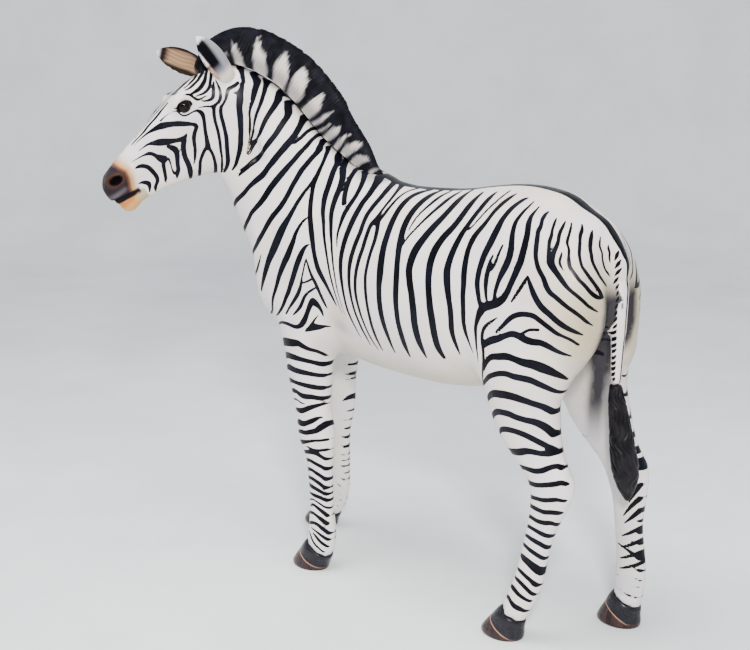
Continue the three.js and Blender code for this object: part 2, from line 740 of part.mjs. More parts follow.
figure.add(piece('tail_tuft', geometryOf(solid(tube(TUFT, 12))), paint(BLACK, 0.5)));
headGroup.add(piece('head', makeHead(), paint(WHITE)));
headGroup.add(piece('ear_left', geometryOf(earSolid(LEFT_EAR, 0)), paint(WHITE)));
headGroup.add(piece('ear_right', geometryOf(earSolid(RIGHT_EAR, 0)), paint(WHITE)));
headGroup.add(piece('eye_left', geometryOf(eyeBall(EYE_RADIUS, 1)), paint('#1b0f0d', 0.08)));
headGroup.add(piece('eye_right', geometryOf(eyeBall(EYE_RADIUS, -1)), paint('#1b0f0d', 0.08)));
figure.add(headGroup);

export default figure;
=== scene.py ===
import math

import bpy
import numpy as np
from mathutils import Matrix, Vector
from mathutils.bvhtree import BVHTree


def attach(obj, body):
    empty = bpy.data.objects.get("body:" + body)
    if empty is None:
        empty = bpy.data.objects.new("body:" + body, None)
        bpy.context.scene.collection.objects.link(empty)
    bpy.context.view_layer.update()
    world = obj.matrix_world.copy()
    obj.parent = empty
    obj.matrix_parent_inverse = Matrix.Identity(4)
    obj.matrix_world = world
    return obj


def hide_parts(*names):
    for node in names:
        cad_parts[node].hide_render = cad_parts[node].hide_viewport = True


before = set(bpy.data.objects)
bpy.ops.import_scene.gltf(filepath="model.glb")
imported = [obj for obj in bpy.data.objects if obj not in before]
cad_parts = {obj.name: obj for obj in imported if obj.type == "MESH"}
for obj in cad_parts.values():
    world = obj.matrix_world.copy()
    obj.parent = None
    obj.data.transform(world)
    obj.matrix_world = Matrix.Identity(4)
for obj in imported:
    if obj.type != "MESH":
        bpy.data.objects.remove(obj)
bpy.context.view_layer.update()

# MOULDED SHELL, the form.
# The animal is one glass-fibre casting laid up in a mould, its joints filled and sanded away. It is
# grown here from the solids: joined, remeshed as one skin, sanded smooth, then cut finer by the head.
FLESH = ["trunk", "neck", "head", "leg_front_left", "leg_front_right", "leg_hind_left",
         "leg_hind_right", "tail"]
MID = -177.55           # the middle of the body, mm
SWELL = 0.6             # mm that each solid grows by, so that the thin cuts between them close
NEAR = 90.0             # mm, as far as a point of the skin is looked for on a solid
VOXEL = 0.0156          # metres
SANDING = {"trunk": 1.0, "neck": 0.9, "head": 0.22, "tail": 0.12}     # share of the sanding taken
LEG_SANDING = 0.3


def unit(a):
    return a / np.maximum(np.linalg.norm(a, axis=1, keepdims=True), 1e-12)


def ease(x, low, high):
    """0 at low, 1 at high and smooth between."""
    t = np.clip((x - low) / (high - low), 0, 1)
    return t * t * (3 - 2 * t)


def normals(co, tri):
    """The skin's direction outwards at each point."""
    face = np.cross(co[tri[:, 1]] - co[tri[:, 0]], co[tri[:, 2]] - co[tri[:, 0]])
    out = np.zeros_like(co)
    for axis in range(3):
        for corner in range(3):
            out[:, axis] += np.bincount(tri[:, corner], face[:, axis], len(co))
    return unit(out)


def edges_of(tri):
    """The edges, each once, and the three edges of every triangle."""
    pairs = np.sort(np.concatenate([tri[:, [0, 1]], tri[:, [1, 2]], tri[:, [2, 0]]]), axis=1)
    edges, where = np.unique(pairs, axis=0, return_inverse=True)
    return edges, where.reshape(3, -1).T


def average(value, edges, count):
    """The mean of each point's neighbours."""
    flat = value.reshape(len(value), -1)
    total = np.stack([np.bincount(edges[:, 0], v[edges[:, 1]], len(flat))
                      + np.bincount(edges[:, 1], v[edges[:, 0]], len(flat)) for v in flat.T], axis=1)
    return (total / count[:, None]).reshape(value.shape)


def sand(co, tri, rounds, share=1.0):
    """Relaxes a skin without shrinking it. share says how much each point takes part."""
    edges, _ = edges_of(tri)
    count = np.maximum(np.bincount(edges.ravel(), minlength=len(co)), 1)
    share = np.broadcast_to(share, len(co))[:, None]
    for turn in range(rounds * 2):
        co = co + (average(co, edges, count) - co) * share * (0.5 if turn % 2 == 0 else -0.52)
    return co


def split(co, tri, pick):
    """Cuts the edges that pick chooses at their middles, and rounds the new points."""
    edges, side = edges_of(tri)
    cut = pick(edges)
    a, b = edges[cut].T
    n = normals(co, tri)
    p = (co[a] + co[b]) / 2
    pa = p - n[a] * np.sum((p - co[a]) * n[a], axis=1, keepdims=True)
    pb = p - n[b] * np.sum((p - co[b]) * n[b], axis=1, keepdims=True)
    p = p / 2 + (pa + pb) / 4
    new = np.full(len(edges), -1)
    new[cut] = len(co) + np.arange(cut.sum())
    mid = new[side]
    made = mid >= 0
    parts = [tri[~made.any(axis=1)]]
    for k in range(3):
        i, j = (k + 1) % 3, (k + 2) % 3
        one = made[:, k] & ~made[:, i] & ~made[:, j]
        v, m = tri[one], mid[one, k]
        parts += [np.stack([v[:, k], m, v[:, j]], 1), np.stack([m, v[:, i], v[:, j]], 1)]
        two = made[:, k] & made[:, i] & ~made[:, j]
        v, m, q = tri[two], mid[two, k], mid[two, i]
        parts += [np.stack([m, v[:, i], q], 1), np.stack([v[:, k], m, q], 1),
                  np.stack([v[:, k], q, v[:, j]], 1)]
    v, m = tri[made.all(axis=1)], mid[made.all(axis=1)]
    parts += [np.stack([v[:, k], m[:, k], m[:, k - 1]], 1) for k in range(3)] + [m]
    return np.concatenate([co, p]), np.concatenate(parts)


def finer(co, tri, inside, longest):
    """Halves the edges that are longer than longest where inside says so."""
    def pick(edges):
        middle = (co[edges[:, 0]] + co[edges[:, 1]]) / 2
        long = np.linalg.norm(co[edges[:, 0]] - co[edges[:, 1]], axis=1) > longest
        return long & inside(middle)
    return split(co, tri, pick)


def arrays(piece):
    """A piece's points in mm and its triangles."""
    data = piece.data
    co = np.zeros(len(data.vertices) * 3)
    data.vertices.foreach_get("co", co)
    data.calc_loop_triangles()
    tri = np.zeros(len(data.loop_triangles) * 3, int)
    data.loop_triangles.foreach_get("vertices", tri)
    return co.reshape(-1, 3) * 1000, tri.reshape(-1, 3)


def only(*pieces):
    """Selects these pieces alone and makes the first one active."""
    bpy.ops.object.select_all(action="DESELECT")
    for piece in pieces:
        piece.select_set(True)
    bpy.context.view_layer.objects.active = pieces[0]


def solid(name):
    """The points and triangles of a merged copy of a solid, in mm."""
    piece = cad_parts[name].copy()
    piece.data = piece.data.copy()
    bpy.context.collection.objects.link(piece)
    only(piece)
    bpy.ops.object.mode_set(mode="EDIT")
    bpy.ops.mesh.select_all(action="SELECT")
    bpy.ops.mesh.remove_doubles(threshold=0.00002)
    bpy.ops.object.mode_set(mode="OBJECT")
    co, tri = arrays(piece)
    bpy.data.objects.remove(piece)
    return co, tri


def cast(name, co, tri, **painted):
    """A finished piece from points in mm, with its painted attributes."""
    data = bpy.data.meshes.new(name)
    data.from_pydata((co / 1000).tolist(), [], tri.tolist())
    for key, value in painted.items():
        kind = "FLOAT" if value.ndim == 1 else "FLOAT_COLOR"
        layer = data.attributes.new(key, kind, "POINT")
        if value.ndim == 1:
            layer.data.foreach_set("value", value.astype(np.float32))
        else:
            full = np.concatenate([value, np.ones((len(value), 1))], axis=1)
            layer.data.foreach_set("color", full.astype(np.float32).ravel())
    piece = bpy.data.objects.new(name, data)
    bpy.context.collection.objects.link(piece)
    only(piece)
    bpy.ops.object.shade_smooth()
    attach(piece, "root")
    return piece


def unwrap(piece):
    """Lays the piece's surface out flat in islands."""
    piece.data.uv_layers.new(name="OFBake")
    only(piece)
    bpy.ops.object.mode_set(mode="EDIT")
    bpy.ops.mesh.select_all(action="SELECT")
    bpy.ops.uv.smart_project(angle_limit=1.15, island_margin=0.002)
    bpy.ops.object.mode_set(mode="OBJECT")


blank, near = [], {}
for name in FLESH:
    co, tri = solid(name)
    near[name] = BVHTree.FromPolygons(co.tolist(), tri.tolist())
    data = bpy.data.meshes.new(name + "_blank")
    data.from_pydata(((co + SWELL * normals(co, tri)) / 1000).tolist(), [], tri.tolist())
    blank.append(bpy.data.objects.new(name + "_blank", data))
    bpy.context.collection.objects.link(blank[-1])
only(*blank)
bpy.ops.object.join()
bpy.ops.object.modifier_add(type="REMESH")
remesh = bpy.context.object.modifiers[-1]
remesh.mode = "VOXEL"
remesh.voxel_size = VOXEL
bpy.ops.object.modifier_apply(modifier=remesh.name)
co, tri = arrays(bpy.context.object)
bpy.data.objects.remove(bpy.context.object)


def parts_of(co):
    """Which of the solids each point belongs to."""
    table = np.full((len(co), len(FLESH)), NEAR)
    points = [Vector(p) for p in co]
    for k, name in enumerate(FLESH):
        find = near[name].find_nearest
        found = [find(p, NEAR) for p in points]
        table[:, k] = [f[3] if f[3] is not None else NEAR for f in found]
    return table.argmin(axis=1)


share = np.array([SANDING.get(name, LEG_SANDING) for name in FLESH])[parts_of(co)]
edges, _ = edges_of(tri)
count = np.bincount(edges.ravel(), minlength=len(co))
for _ in range(10):
    share = average(share, edges, count)
co = sand(co, tri, 16, share)

# The head's own axes in mm: u forward along the face, v up out of the forehead, w to its left.
POLL = np.array([37.45, -710.36, 1800.0])
HEAD_AXES = np.array([[0.7254, -0.3696, -0.5807], [0.5174, -0.2636, 0.8141], [0.4540, 0.8910, 0.0]])


def head_axes(co):
    """Points in the head's own axes."""
    return (co - POLL) @ HEAD_AXES.T


def on_head(p):
    """Where the head and the top of the throat are."""
    q = head_axes(p)
    return (q[:, 0] > -40) & (q[:, 0] < 640) & (np.abs(q[:, 2]) < 122) & (q[:, 1] > -285)


def on_lids_and_muzzle(p):
    """Where the eyelids, nostrils and mouth need the finest skin."""
    q = head_axes(p)
    lid = np.hypot((q[:, 0] - 179) / 1.3, q[:, 1] - 29) < 46
    nose = (q[:, 0] > 486) & (q[:, 1] > -160) & (q[:, 1] < 5)
    return (np.abs(q[:, 2]) > 22) & (lid & (np.abs(q[:, 2]) > 55) | nose)


co, tri = finer(co, tri, on_head, 9.0)
co = sand(co, tri, 3, on_head(co) * 0.8)
co, tri = finer(co, tri, on_lids_and_muzzle, 4.8)


# Lids, nostrils, mouth, jaw edge and throat folds, pressed in or raised along the skin's normal.
def gap_to(points, run):
    """Distance in mm from flat points to a run of straight pieces, and how far along it, 0 to 1."""
    run = np.array(run, float)
    best, along = np.full(len(points), 1e9), np.zeros(len(points))
    for k, (a, b) in enumerate(zip(run[:-1], run[1:])):
        d = b - a
        t = np.clip((points - a) @ d / (d @ d), 0, 1)
        off = np.linalg.norm(points - a - t[:, None] * d, axis=1)
        along = np.where(off < best, (k + t) / (len(run) - 1), along)
        best = np.minimum(best, off)
    return best, along


def oval_gap(q, centre, half, turn):
    """1 on an oval's rim, less inside it."""
    c, s = math.cos(math.radians(turn)), math.sin(math.radians(turn))
    d = q[:, :2] - centre
    return np.hypot((d[:, 0] * c + d[:, 1] * s) / half[0], (d[:, 1] * c - d[:, 0] * s) / half[1])


EYE_OPENING = ((180, 31), (25.5, 16.5), 14)     # middle (u, v), half width and height, turn
NOSTRIL = ((538, -38), (23, 15), 8)
MOUTH = [(490, -121), (503, -119), (520, -117), (547, -111), (572, -105), (592, -102)]
CREASES = [     # run in (u, v), half width, depth: mouth corner fold, jaw edge, cheek, brow folds
    ([(480, -128), (489, -121), (496, -112)], 5, 2.0),
    ([(2, -100), (30, -140), (64, -180), (105, -215), (150, -252)], 11, 4.0),
    ([(140, 52), (160, 64), (188, 66), (212, 56)], 4, 1.6),
    ([(146, -2), (170, -9), (196, -6), (214, 8)], 4, 1.5),
    ([(440, -20), (468, -30), (500, -28)], 12, 2.0),
    ([(250, 6), (330, 2), (400, -4), (450, -16)], 9, 2.6),
]


def sculpted(co, tri):
    """The head's details, each a height in mm that the skin is pushed out or in by."""
    q, n = head_axes(co), normals(co, tri)
    push = np.zeros(len(co))
    sides = np.abs(q[:, 2])
    face = ease(sides, 14, 34) * (q[:, 0] > -60)
    # A full upper and lower lid round a sunk opening, then the fold and groove outside them.
    r = oval_gap(q, *EYE_OPENING)
    lid = 4.2 * np.exp(-((r - 1.22) / 0.2) ** 2) - 9 * ease(-r, -1.03, -0.8)
    lid += 1.6 * np.exp(-((r - 1.62) / 0.14) ** 2) - 1.3 * np.exp(-((r - 1.43) / 0.1) ** 2)
    push += lid * ease(sides, 50, 60) * (r < 3)
    # The nostril's raised rim and its deep hollow.
    r = oval_gap(q, *NOSTRIL)
    push += (2.4 * np.exp(-((r - 1.3) / 0.25) ** 2) - 17 * ease(-r, -1.0, -0.6)) * face
    # The mouth's groove and the lips on both sides of it.
    gap, along = gap_to(q[:, :2], MOUTH)
    push -= 6.5 * np.exp(-(gap / 4.2) ** 2) * ease(along, 0, 0.2) * (q[:, 0] > 470)
    push += 1.8 * np.exp(-((gap - 9) / 4.5) ** 2) * (q[:, 0] > 495) * (q[:, 0] < 600)
    for run, half, depth in CREASES:
        gap, along = gap_to(q[:, :2], run)
        push -= depth * np.exp(-(gap / half) ** 2) * ease(along, 0, 0.25) * ease(-along, -1, -0.75) * face
    return co + n * push[:, None]


def buttocks(co, n):
    """The two full curves that run down beside the tail."""
    side = np.abs(co[:, 0] - MID)
    r = ((side - 100) / 48) ** 2 + ((co[:, 1] - 850) / 75) ** 2 + ((co[:, 2] - 1020) / 120) ** 2
    return co + n * (24 * np.exp(-r) * ease(n[:, 1], -0.1, 0.35))[:, None]


co = sculpted(co, tri)
co = buttocks(co, normals(co, tri))

# MOULDED SHELL, the stripes.
# The bands were painted on freehand in gloss black over a warm white ground. Each is a stroke here:
# a run of (y, z, width) in mm seen square from the left, or (u, v, width) on the head.
NECK_STRIPES = [
    [(-652, 1867, 9), (-642, 1860, 9), (-617, 1841, 9), (-602, 1823, 10), (-595, 1804, 13),
     (-592, 1786, 16), (-594, 1772, 12)],
    [(-600, 1842, 5), (-588, 1830, 6), (-566, 1803, 12), (-557, 1770, 16), (-554, 1735, 14), (-556, 1700, 10),
     (-550, 1640, 6), (-556, 1580, 3), (-560, 1545, 2)],
    [(-570, 1822, 5), (-547, 1797, 9), (-534, 1770, 11), (-529, 1735, 12), (-531, 1705, 11),
     (-535, 1670, 10), (-538, 1640, 7), (-546, 1610, 5), (-553, 1575, 3), (-558, 1545, 2)],
    [(-515, 1790, 8), (-504, 1768, 12), (-495, 1748, 16), (-491, 1735, 18), (-492, 1713, 18),
     (-498, 1690, 17), (-504, 1667, 16), (-509, 1644, 14), (-515, 1620, 14), (-530, 1603, 10),
     (-542, 1590, 8), (-550, 1565, 5), (-556, 1545, 3)],
    [(-475, 1738, 8), (-462, 1714, 12), (-453, 1695, 15), (-451, 1678, 17), (-457, 1651, 19),
     (-466, 1621, 19), (-481, 1590, 20), (-497, 1562, 18), (-520, 1542, 20), (-540, 1520, 20),
     (-558, 1497, 20), (-585, 1476, 20), (-612, 1459, 22), (-636, 1437, 22)],
    [(-427, 1686, 8), (-418, 1668, 12), (-414, 1650, 15), (-414, 1625, 18), (-420, 1600, 22),
     (-432, 1575, 24)],
    [(-420, 1595, 24), (-437, 1563, 24), (-448, 1544, 23), (-461, 1521, 24), (-476, 1498, 22),
     (-492, 1472, 24), (-515, 1452, 22), (-545, 1427, 18), (-572, 1402, 18), (-597, 1386, 18),
     (-622, 1371, 18), (-655, 1350, 16)],
    [(-386, 1655, 14), (-388, 1638, 12), (-392, 1625, 12), (-397, 1605, 12), (-408, 1590, 14)],
    [(-370, 1628, 7), (-366, 1612, 11), (-368, 1598, 13), (-373, 1575, 16), (-384, 1552, 18),
     (-395, 1528, 19), (-409, 1505, 21), (-423, 1482, 23), (-441, 1455, 25), (-460, 1427, 24),
     (-479, 1396, 24), (-500, 1370, 22), (-525, 1348, 19), (-545, 1329, 18), (-562, 1308, 18),
     (-590, 1282, 18), (-625, 1255, 16)],
    [(-350, 1600, 8), (-343, 1585, 11), (-340, 1570, 15), (-337, 1559, 18), (-345, 1536, 18),
     (-354, 1513, 19), (-364, 1490, 20), (-373, 1462, 20), (-382, 1435, 20), (-391, 1402, 22),
     (-404, 1375, 24), (-423, 1348, 24), (-443, 1325, 24), (-463, 1300, 24), (-481, 1275, 22),
     (-498, 1252, 22), (-518, 1228, 22), (-540, 1205, 20), (-562, 1186, 18), (-590, 1165, 16),
     (-620, 1145, 12)],
    [(-328, 1575, 7), (-320, 1563, 8), (-315, 1550, 10), (-309, 1522, 11), (-308, 1498, 14), (-308, 1475, 18),
     (-309, 1458, 22)],
    [(-309, 1458, 20), (-318, 1440, 15), (-327, 1422, 15), (-335, 1400, 17), (-344, 1375, 19),
     (-354, 1348, 22), (-366, 1323, 26), (-378, 1300, 32), (-392, 1275, 38), (-406, 1248, 40),
     (-422, 1218, 40), (-438, 1190, 36), (-452, 1165, 31), (-462, 1140, 29), (-472, 1115, 26),
     (-482, 1090, 22), (-492, 1068, 17), (-504, 1045, 12)],
    [(-309, 1458, 20), (-301, 1425, 17), (-291, 1391, 19), (-281, 1360, 20), (-271, 1333, 22),
     (-260, 1306, 24), (-248, 1279, 25), (-237, 1252, 24), (-227, 1225, 22), (-215, 1195, 22),
     (-198, 1160, 24), (-176, 1132, 22), (-155, 1108, 18), (-137, 1085, 15), (-120, 1063, 12),
     (-104, 1040, 7)],
]
SHOULDER_STRIPES = [
    [(-286, 1328, 8), (-297, 1318, 12), (-311, 1295, 15), (-322, 1268, 19), (-329, 1242, 24),
     (-340, 1215, 28), (-352, 1190, 30), (-368, 1165, 29), (-382, 1140, 26), (-394, 1115, 23),
     (-404, 1088, 20), (-415, 1060, 17), (-427, 1035, 15), (-438, 1010, 14), (-448, 985, 13),
     (-463, 967, 11), (-485, 956, 9), (-512, 950, 7)],
    [(-250, 1241, 5), (-268, 1229, 15), (-281, 1210, 23), (-293, 1187, 27), (-304, 1164, 27),
     (-315, 1139, 26), (-327, 1112, 25), (-339, 1085, 23), (-351, 1058, 21), (-364, 1035, 18),
     (-376, 1010, 16), (-392, 988, 14), (-414, 969, 10), (-436, 957, 5)],
    [(-259, 1188, 6), (-265, 1170, 9), (-272, 1145, 9), (-280, 1120, 10), (-285, 1098, 14),
     (-291, 1078, 18), (-303, 1055, 19), (-318, 1035, 17), (-335, 1014, 14), (-350, 995, 11),
     (-362, 978, 9), (-368, 975, 5)],
    [(-259, 1188, 6), (-250, 1170, 10), (-238, 1145, 13), (-226, 1126, 16), (-212, 1108, 17),
     (-200, 1090, 17), (-188, 1068, 16), (-176, 1048, 15), (-165, 1030, 11), (-160, 1022, 6)],
    [(-281, 1098, 7), (-262, 1104, 8), (-245, 1111, 9), (-230, 1118, 9)],
    [(-205, 1092, 8), (-225, 1082, 9), (-250, 1067, 11), (-268, 1050, 14), (-278, 1032, 17),
     (-288, 1012, 17), (-302, 996, 14), (-318, 982, 9), (-326, 976, 5)],
    [(-455, 913, 5), (-430, 925, 9), (-405, 935, 11), (-380, 939, 13), (-355, 939, 14), (-330, 936, 15),
     (-305, 935, 16), (-288, 941, 20), (-275, 952, 24), (-264, 968, 24), (-257, 985, 22), (-250, 1003, 22),
     (-243, 1020, 24), (-232, 1035, 28), (-222, 1037, 28), (-208, 1029, 24), (-196, 1018, 18),
     (-187, 1003, 13), (-184, 990, 8)],
    [(-262, 925, 8), (-245, 935, 20), (-225, 944, 26), (-205, 946, 20), (-185, 950, 10), (-160, 952, 4)],
    [(-238, 948, 14), (-226, 965, 9), (-214, 980, 6), (-206, 988, 4)],
    [(-498, 1180, 4), (-505, 1162, 9), (-516, 1140, 14), (-530, 1118, 16), (-548, 1103, 15),
     (-572, 1095, 13), (-600, 1088, 10)],
]
BARREL_STRIPES = [
    [(-297, 1560, 8), (-285, 1540, 14), (-268, 1520, 18), (-261, 1500, 21), (-252, 1470, 24),
     (-244, 1440, 25), (-239, 1410, 26), (-231, 1380, 23), (-219, 1350, 20), (-203, 1320, 17),
     (-191, 1290, 15), (-179, 1260, 13), (-166, 1230, 12), (-154, 1200, 11), (-143, 1170, 11),
     (-132, 1140, 10), (-119, 1110, 9), (-106, 1080, 7), (-92, 1048, 5), (-78, 1015, 3)],
    [(-268, 1545, 8), (-250, 1523, 16), (-232, 1500, 19), (-214, 1480, 21), (-202, 1462, 24),
     (-193, 1438, 27), (-188, 1410, 28), (-184, 1380, 26), (-177, 1350, 22), (-166, 1320, 18),
     (-156, 1290, 16), (-146, 1260, 12), (-137, 1230, 11), (-127, 1200, 10), (-118, 1170, 9),
     (-108, 1140, 8), (-99, 1110, 7), (-88, 1080, 5), (-77, 1050, 4), (-62, 1010, 3)],
    [(-182, 1490, 20), (-175, 1465, 22), (-165, 1440, 22), (-152, 1412, 20), (-140, 1390, 20)],
    [(-160, 1500, 14), (-140, 1490, 16), (-122, 1470, 18), (-110, 1445, 19), (-106, 1415, 20),
     (-112, 1388, 22), (-120, 1355, 22), (-122, 1325, 16), (-124, 1295, 12), (-122, 1270, 9),
     (-116, 1245, 4)],
    [(-190, 1500, 14), (-160, 1505, 14)],
    [(-110, 1494, 4), (-92, 1480, 10), (-74, 1466, 18), (-63, 1448, 24), (-60, 1420, 24), (-65, 1390, 25),
     (-69, 1360, 27), (-73, 1330, 27), (-78, 1300, 26), (-83, 1270, 25), (-86, 1240, 24), (-86, 1210, 23),
     (-83, 1180, 21), (-77, 1150, 18), (-69, 1120, 15), (-61, 1090, 13), (-53, 1060, 12), (-44, 1030, 12),
     (-31, 1000, 10), (-18, 970, 8), (-6, 938, 5)],
    [(-52, 1477, 4), (-34, 1466, 10), (-16, 1450, 18), (-6, 1425, 24), (-11, 1392, 24), (-19, 1360, 22),
     (-20, 1330, 21), (-20, 1300, 22), (-26, 1270, 23), (-32, 1240, 23), (-36, 1210, 23), (-37, 1180, 20),
     (-35, 1150, 18), (-31, 1120, 16), (-23, 1090, 14), (-15, 1060, 12), (-5, 1030, 12), (7, 1000, 12),
     (18, 970, 12), (28, 942, 10), (36, 915, 5)],
    [(-4, 1458, 5), (14, 1452, 9), (32, 1440, 13), (41, 1419, 14), (39, 1391, 13), (34, 1365, 14),
     (30, 1345, 22)],
    [(100, 1448, 5), (80, 1441, 9), (69, 1422, 12), (63, 1395, 14), (57, 1368, 16), (45, 1348, 22)],
    [(30, 1345, 24), (17, 1325, 20), (15, 1290, 20), (13, 1253, 20), (5, 1212, 19), (-1, 1164, 18),
     (0, 1115, 16), (9, 1074, 14), (22, 1033, 12), (36, 991, 10), (52, 943, 9), (68, 902, 5)],
    [(38, 1347, 26), (52, 1325, 20), (60, 1285, 19), (56, 1247, 17), (51, 1205, 16), (48, 1164, 16),
     (52, 1122, 16), (60, 1074, 15), (69, 1026, 15), (76, 984, 15), (84, 943, 13), (91, 905, 7)],
    [(165, 1447, 4), (142, 1441, 12), (120, 1428, 22), (110, 1405, 27), (108, 1378, 27), (109, 1322, 29),
     (110, 1274, 30), (113, 1226, 32), (117, 1178, 33), (118, 1136, 27), (122, 1095, 26), (128, 1053, 26),
     (138, 1005, 23), (149, 957, 17), (155, 909, 8)],
    [(212, 1450, 6), (192, 1432, 24), (178, 1402, 29), (171, 1364, 30), (172, 1322, 29), (179, 1281, 29),
     (186, 1240, 26), (192, 1198, 27), (197, 1157, 27), (199, 1115, 26), (203, 1074, 24), (208, 1026, 23),
     (214, 984, 24), (219, 943, 21), (223, 905, 9)],
    [(248, 1446, 12), (234, 1424, 16), (221, 1399, 12), (209, 1376, 10), (201, 1350, 8), (198, 1328, 5)],
    [(295, 1447, 14), (281, 1421, 19), (263, 1391, 15), (245, 1364, 12), (224, 1333, 10), (207, 1309, 9),
     (192, 1281, 10)],
    [(340, 1454, 16), (334, 1426, 28), (320, 1384, 27), (300, 1350, 29), (279, 1316, 30), (257, 1274, 34),
     (248, 1240, 33), (246, 1205, 30), (255, 1171, 29), (268, 1129, 28), (277, 1081, 29), (280, 1033, 29),
     (284, 984, 27), (291, 943, 19), (295, 912, 8)],
    [(408, 1453, 14), (401, 1422, 26), (393, 1384, 27), (378, 1350, 27), (355, 1319, 28), (337, 1281, 31),
     (330, 1240, 30), (331, 1191, 27), (338, 1143, 25), (345, 1095, 27), (351, 1053, 27), (353, 1005, 26),
     (356, 957, 24), (364, 924, 17)],
    [(465, 1460, 10), (461, 1445, 20), (454, 1415, 22), (445, 1388, 21), (435, 1360, 21), (423, 1330, 23),
     (414, 1300, 25), (407, 1270, 26), (402, 1240, 27), (401, 1210, 29), (406, 1180, 27), (412, 1150, 24),
     (418, 1120, 21), (422, 1090, 21), (422, 1060, 21), (420, 1030, 20), (422, 1000, 17), (427, 970, 13),
     (432, 943, 6)],
    [(512, 1467, 8), (498, 1435, 10), (485, 1410, 9), (472, 1385, 8), (460, 1365, 7), (447, 1350, 8)],
    [(547, 1461, 6), (539, 1450, 16), (528, 1430, 21), (519, 1405, 20), (512, 1382, 20), (501, 1362, 21),
     (487, 1343, 23), (475, 1320, 25), (468, 1295, 23), (466, 1260, 23), (466, 1220, 23), (468, 1180, 21),
     (468, 1140, 19), (469, 1100, 18), (468, 1060, 17), (471, 1030, 16), (478, 1005, 11), (487, 980, 8),
     (496, 960, 4)],
]
RUMP_STRIPES = [
    [(600, 1452, 6), (590, 1445, 16), (581, 1425, 22), (575, 1395, 24), (569, 1362, 29), (561, 1330, 30),
     (550, 1305, 28), (538, 1280, 26), (528, 1250, 24), (521, 1220, 22), (519, 1190, 21), (524, 1160, 19),
     (531, 1130, 17), (537, 1112, 16)],
    [(576, 1284, 8), (566, 1266, 11), (560, 1242, 18), (554, 1212, 20), (553, 1182, 17), (556, 1155, 12),
     (560, 1138, 10)],
    [(609, 1318, 8), (600, 1297, 10), (592, 1275, 12), (583, 1256, 13), (570, 1240, 14)],
    [(629, 1444, 5), (630, 1420, 12), (628, 1390, 16), (631, 1360, 18), (638, 1330, 21), (641, 1305, 24),
     (637, 1280, 25), (626, 1255, 25), (612, 1230, 22), (601, 1205, 17), (593, 1180, 16), (587, 1150, 12),
     (584, 1140, 10)],
    [(657, 1430, 5), (661, 1412, 10), (669, 1390, 16), (679, 1362, 19), (682, 1330, 21), (681, 1300, 22),
     (677, 1275, 24), (668, 1250, 23), (657, 1225, 22), (646, 1200, 21), (636, 1177, 22), (622, 1155, 25),
     (600, 1138, 28), (572, 1127, 29), (548, 1117, 29), (533, 1100, 28)],
    [(533, 1105, 24), (526, 1085, 22), (518, 1062, 16), (514, 1040, 14), (515, 1015, 12), (516, 990, 10),
     (518, 965, 7), (519, 935, 4)],
    [(601, 1091, 4), (583, 1079, 9), (562, 1064, 13), (548, 1048, 14), (541, 1025, 14), (542, 1000, 14),
     (546, 975, 13), (545, 950, 12), (541, 925, 11), (534, 905, 10), (527, 885, 8), (520, 862, 5)],
    [(703, 1231, 8), (692, 1212, 12), (678, 1188, 13), (664, 1166, 11), (652, 1148, 7)],
    [(703, 1231, 8), (712, 1207, 15), (728, 1175, 20), (752, 1143, 21), (778, 1122, 20), (803, 1101, 19),
     (828, 1083, 17), (848, 1071, 13), (863, 1061, 6)],
]
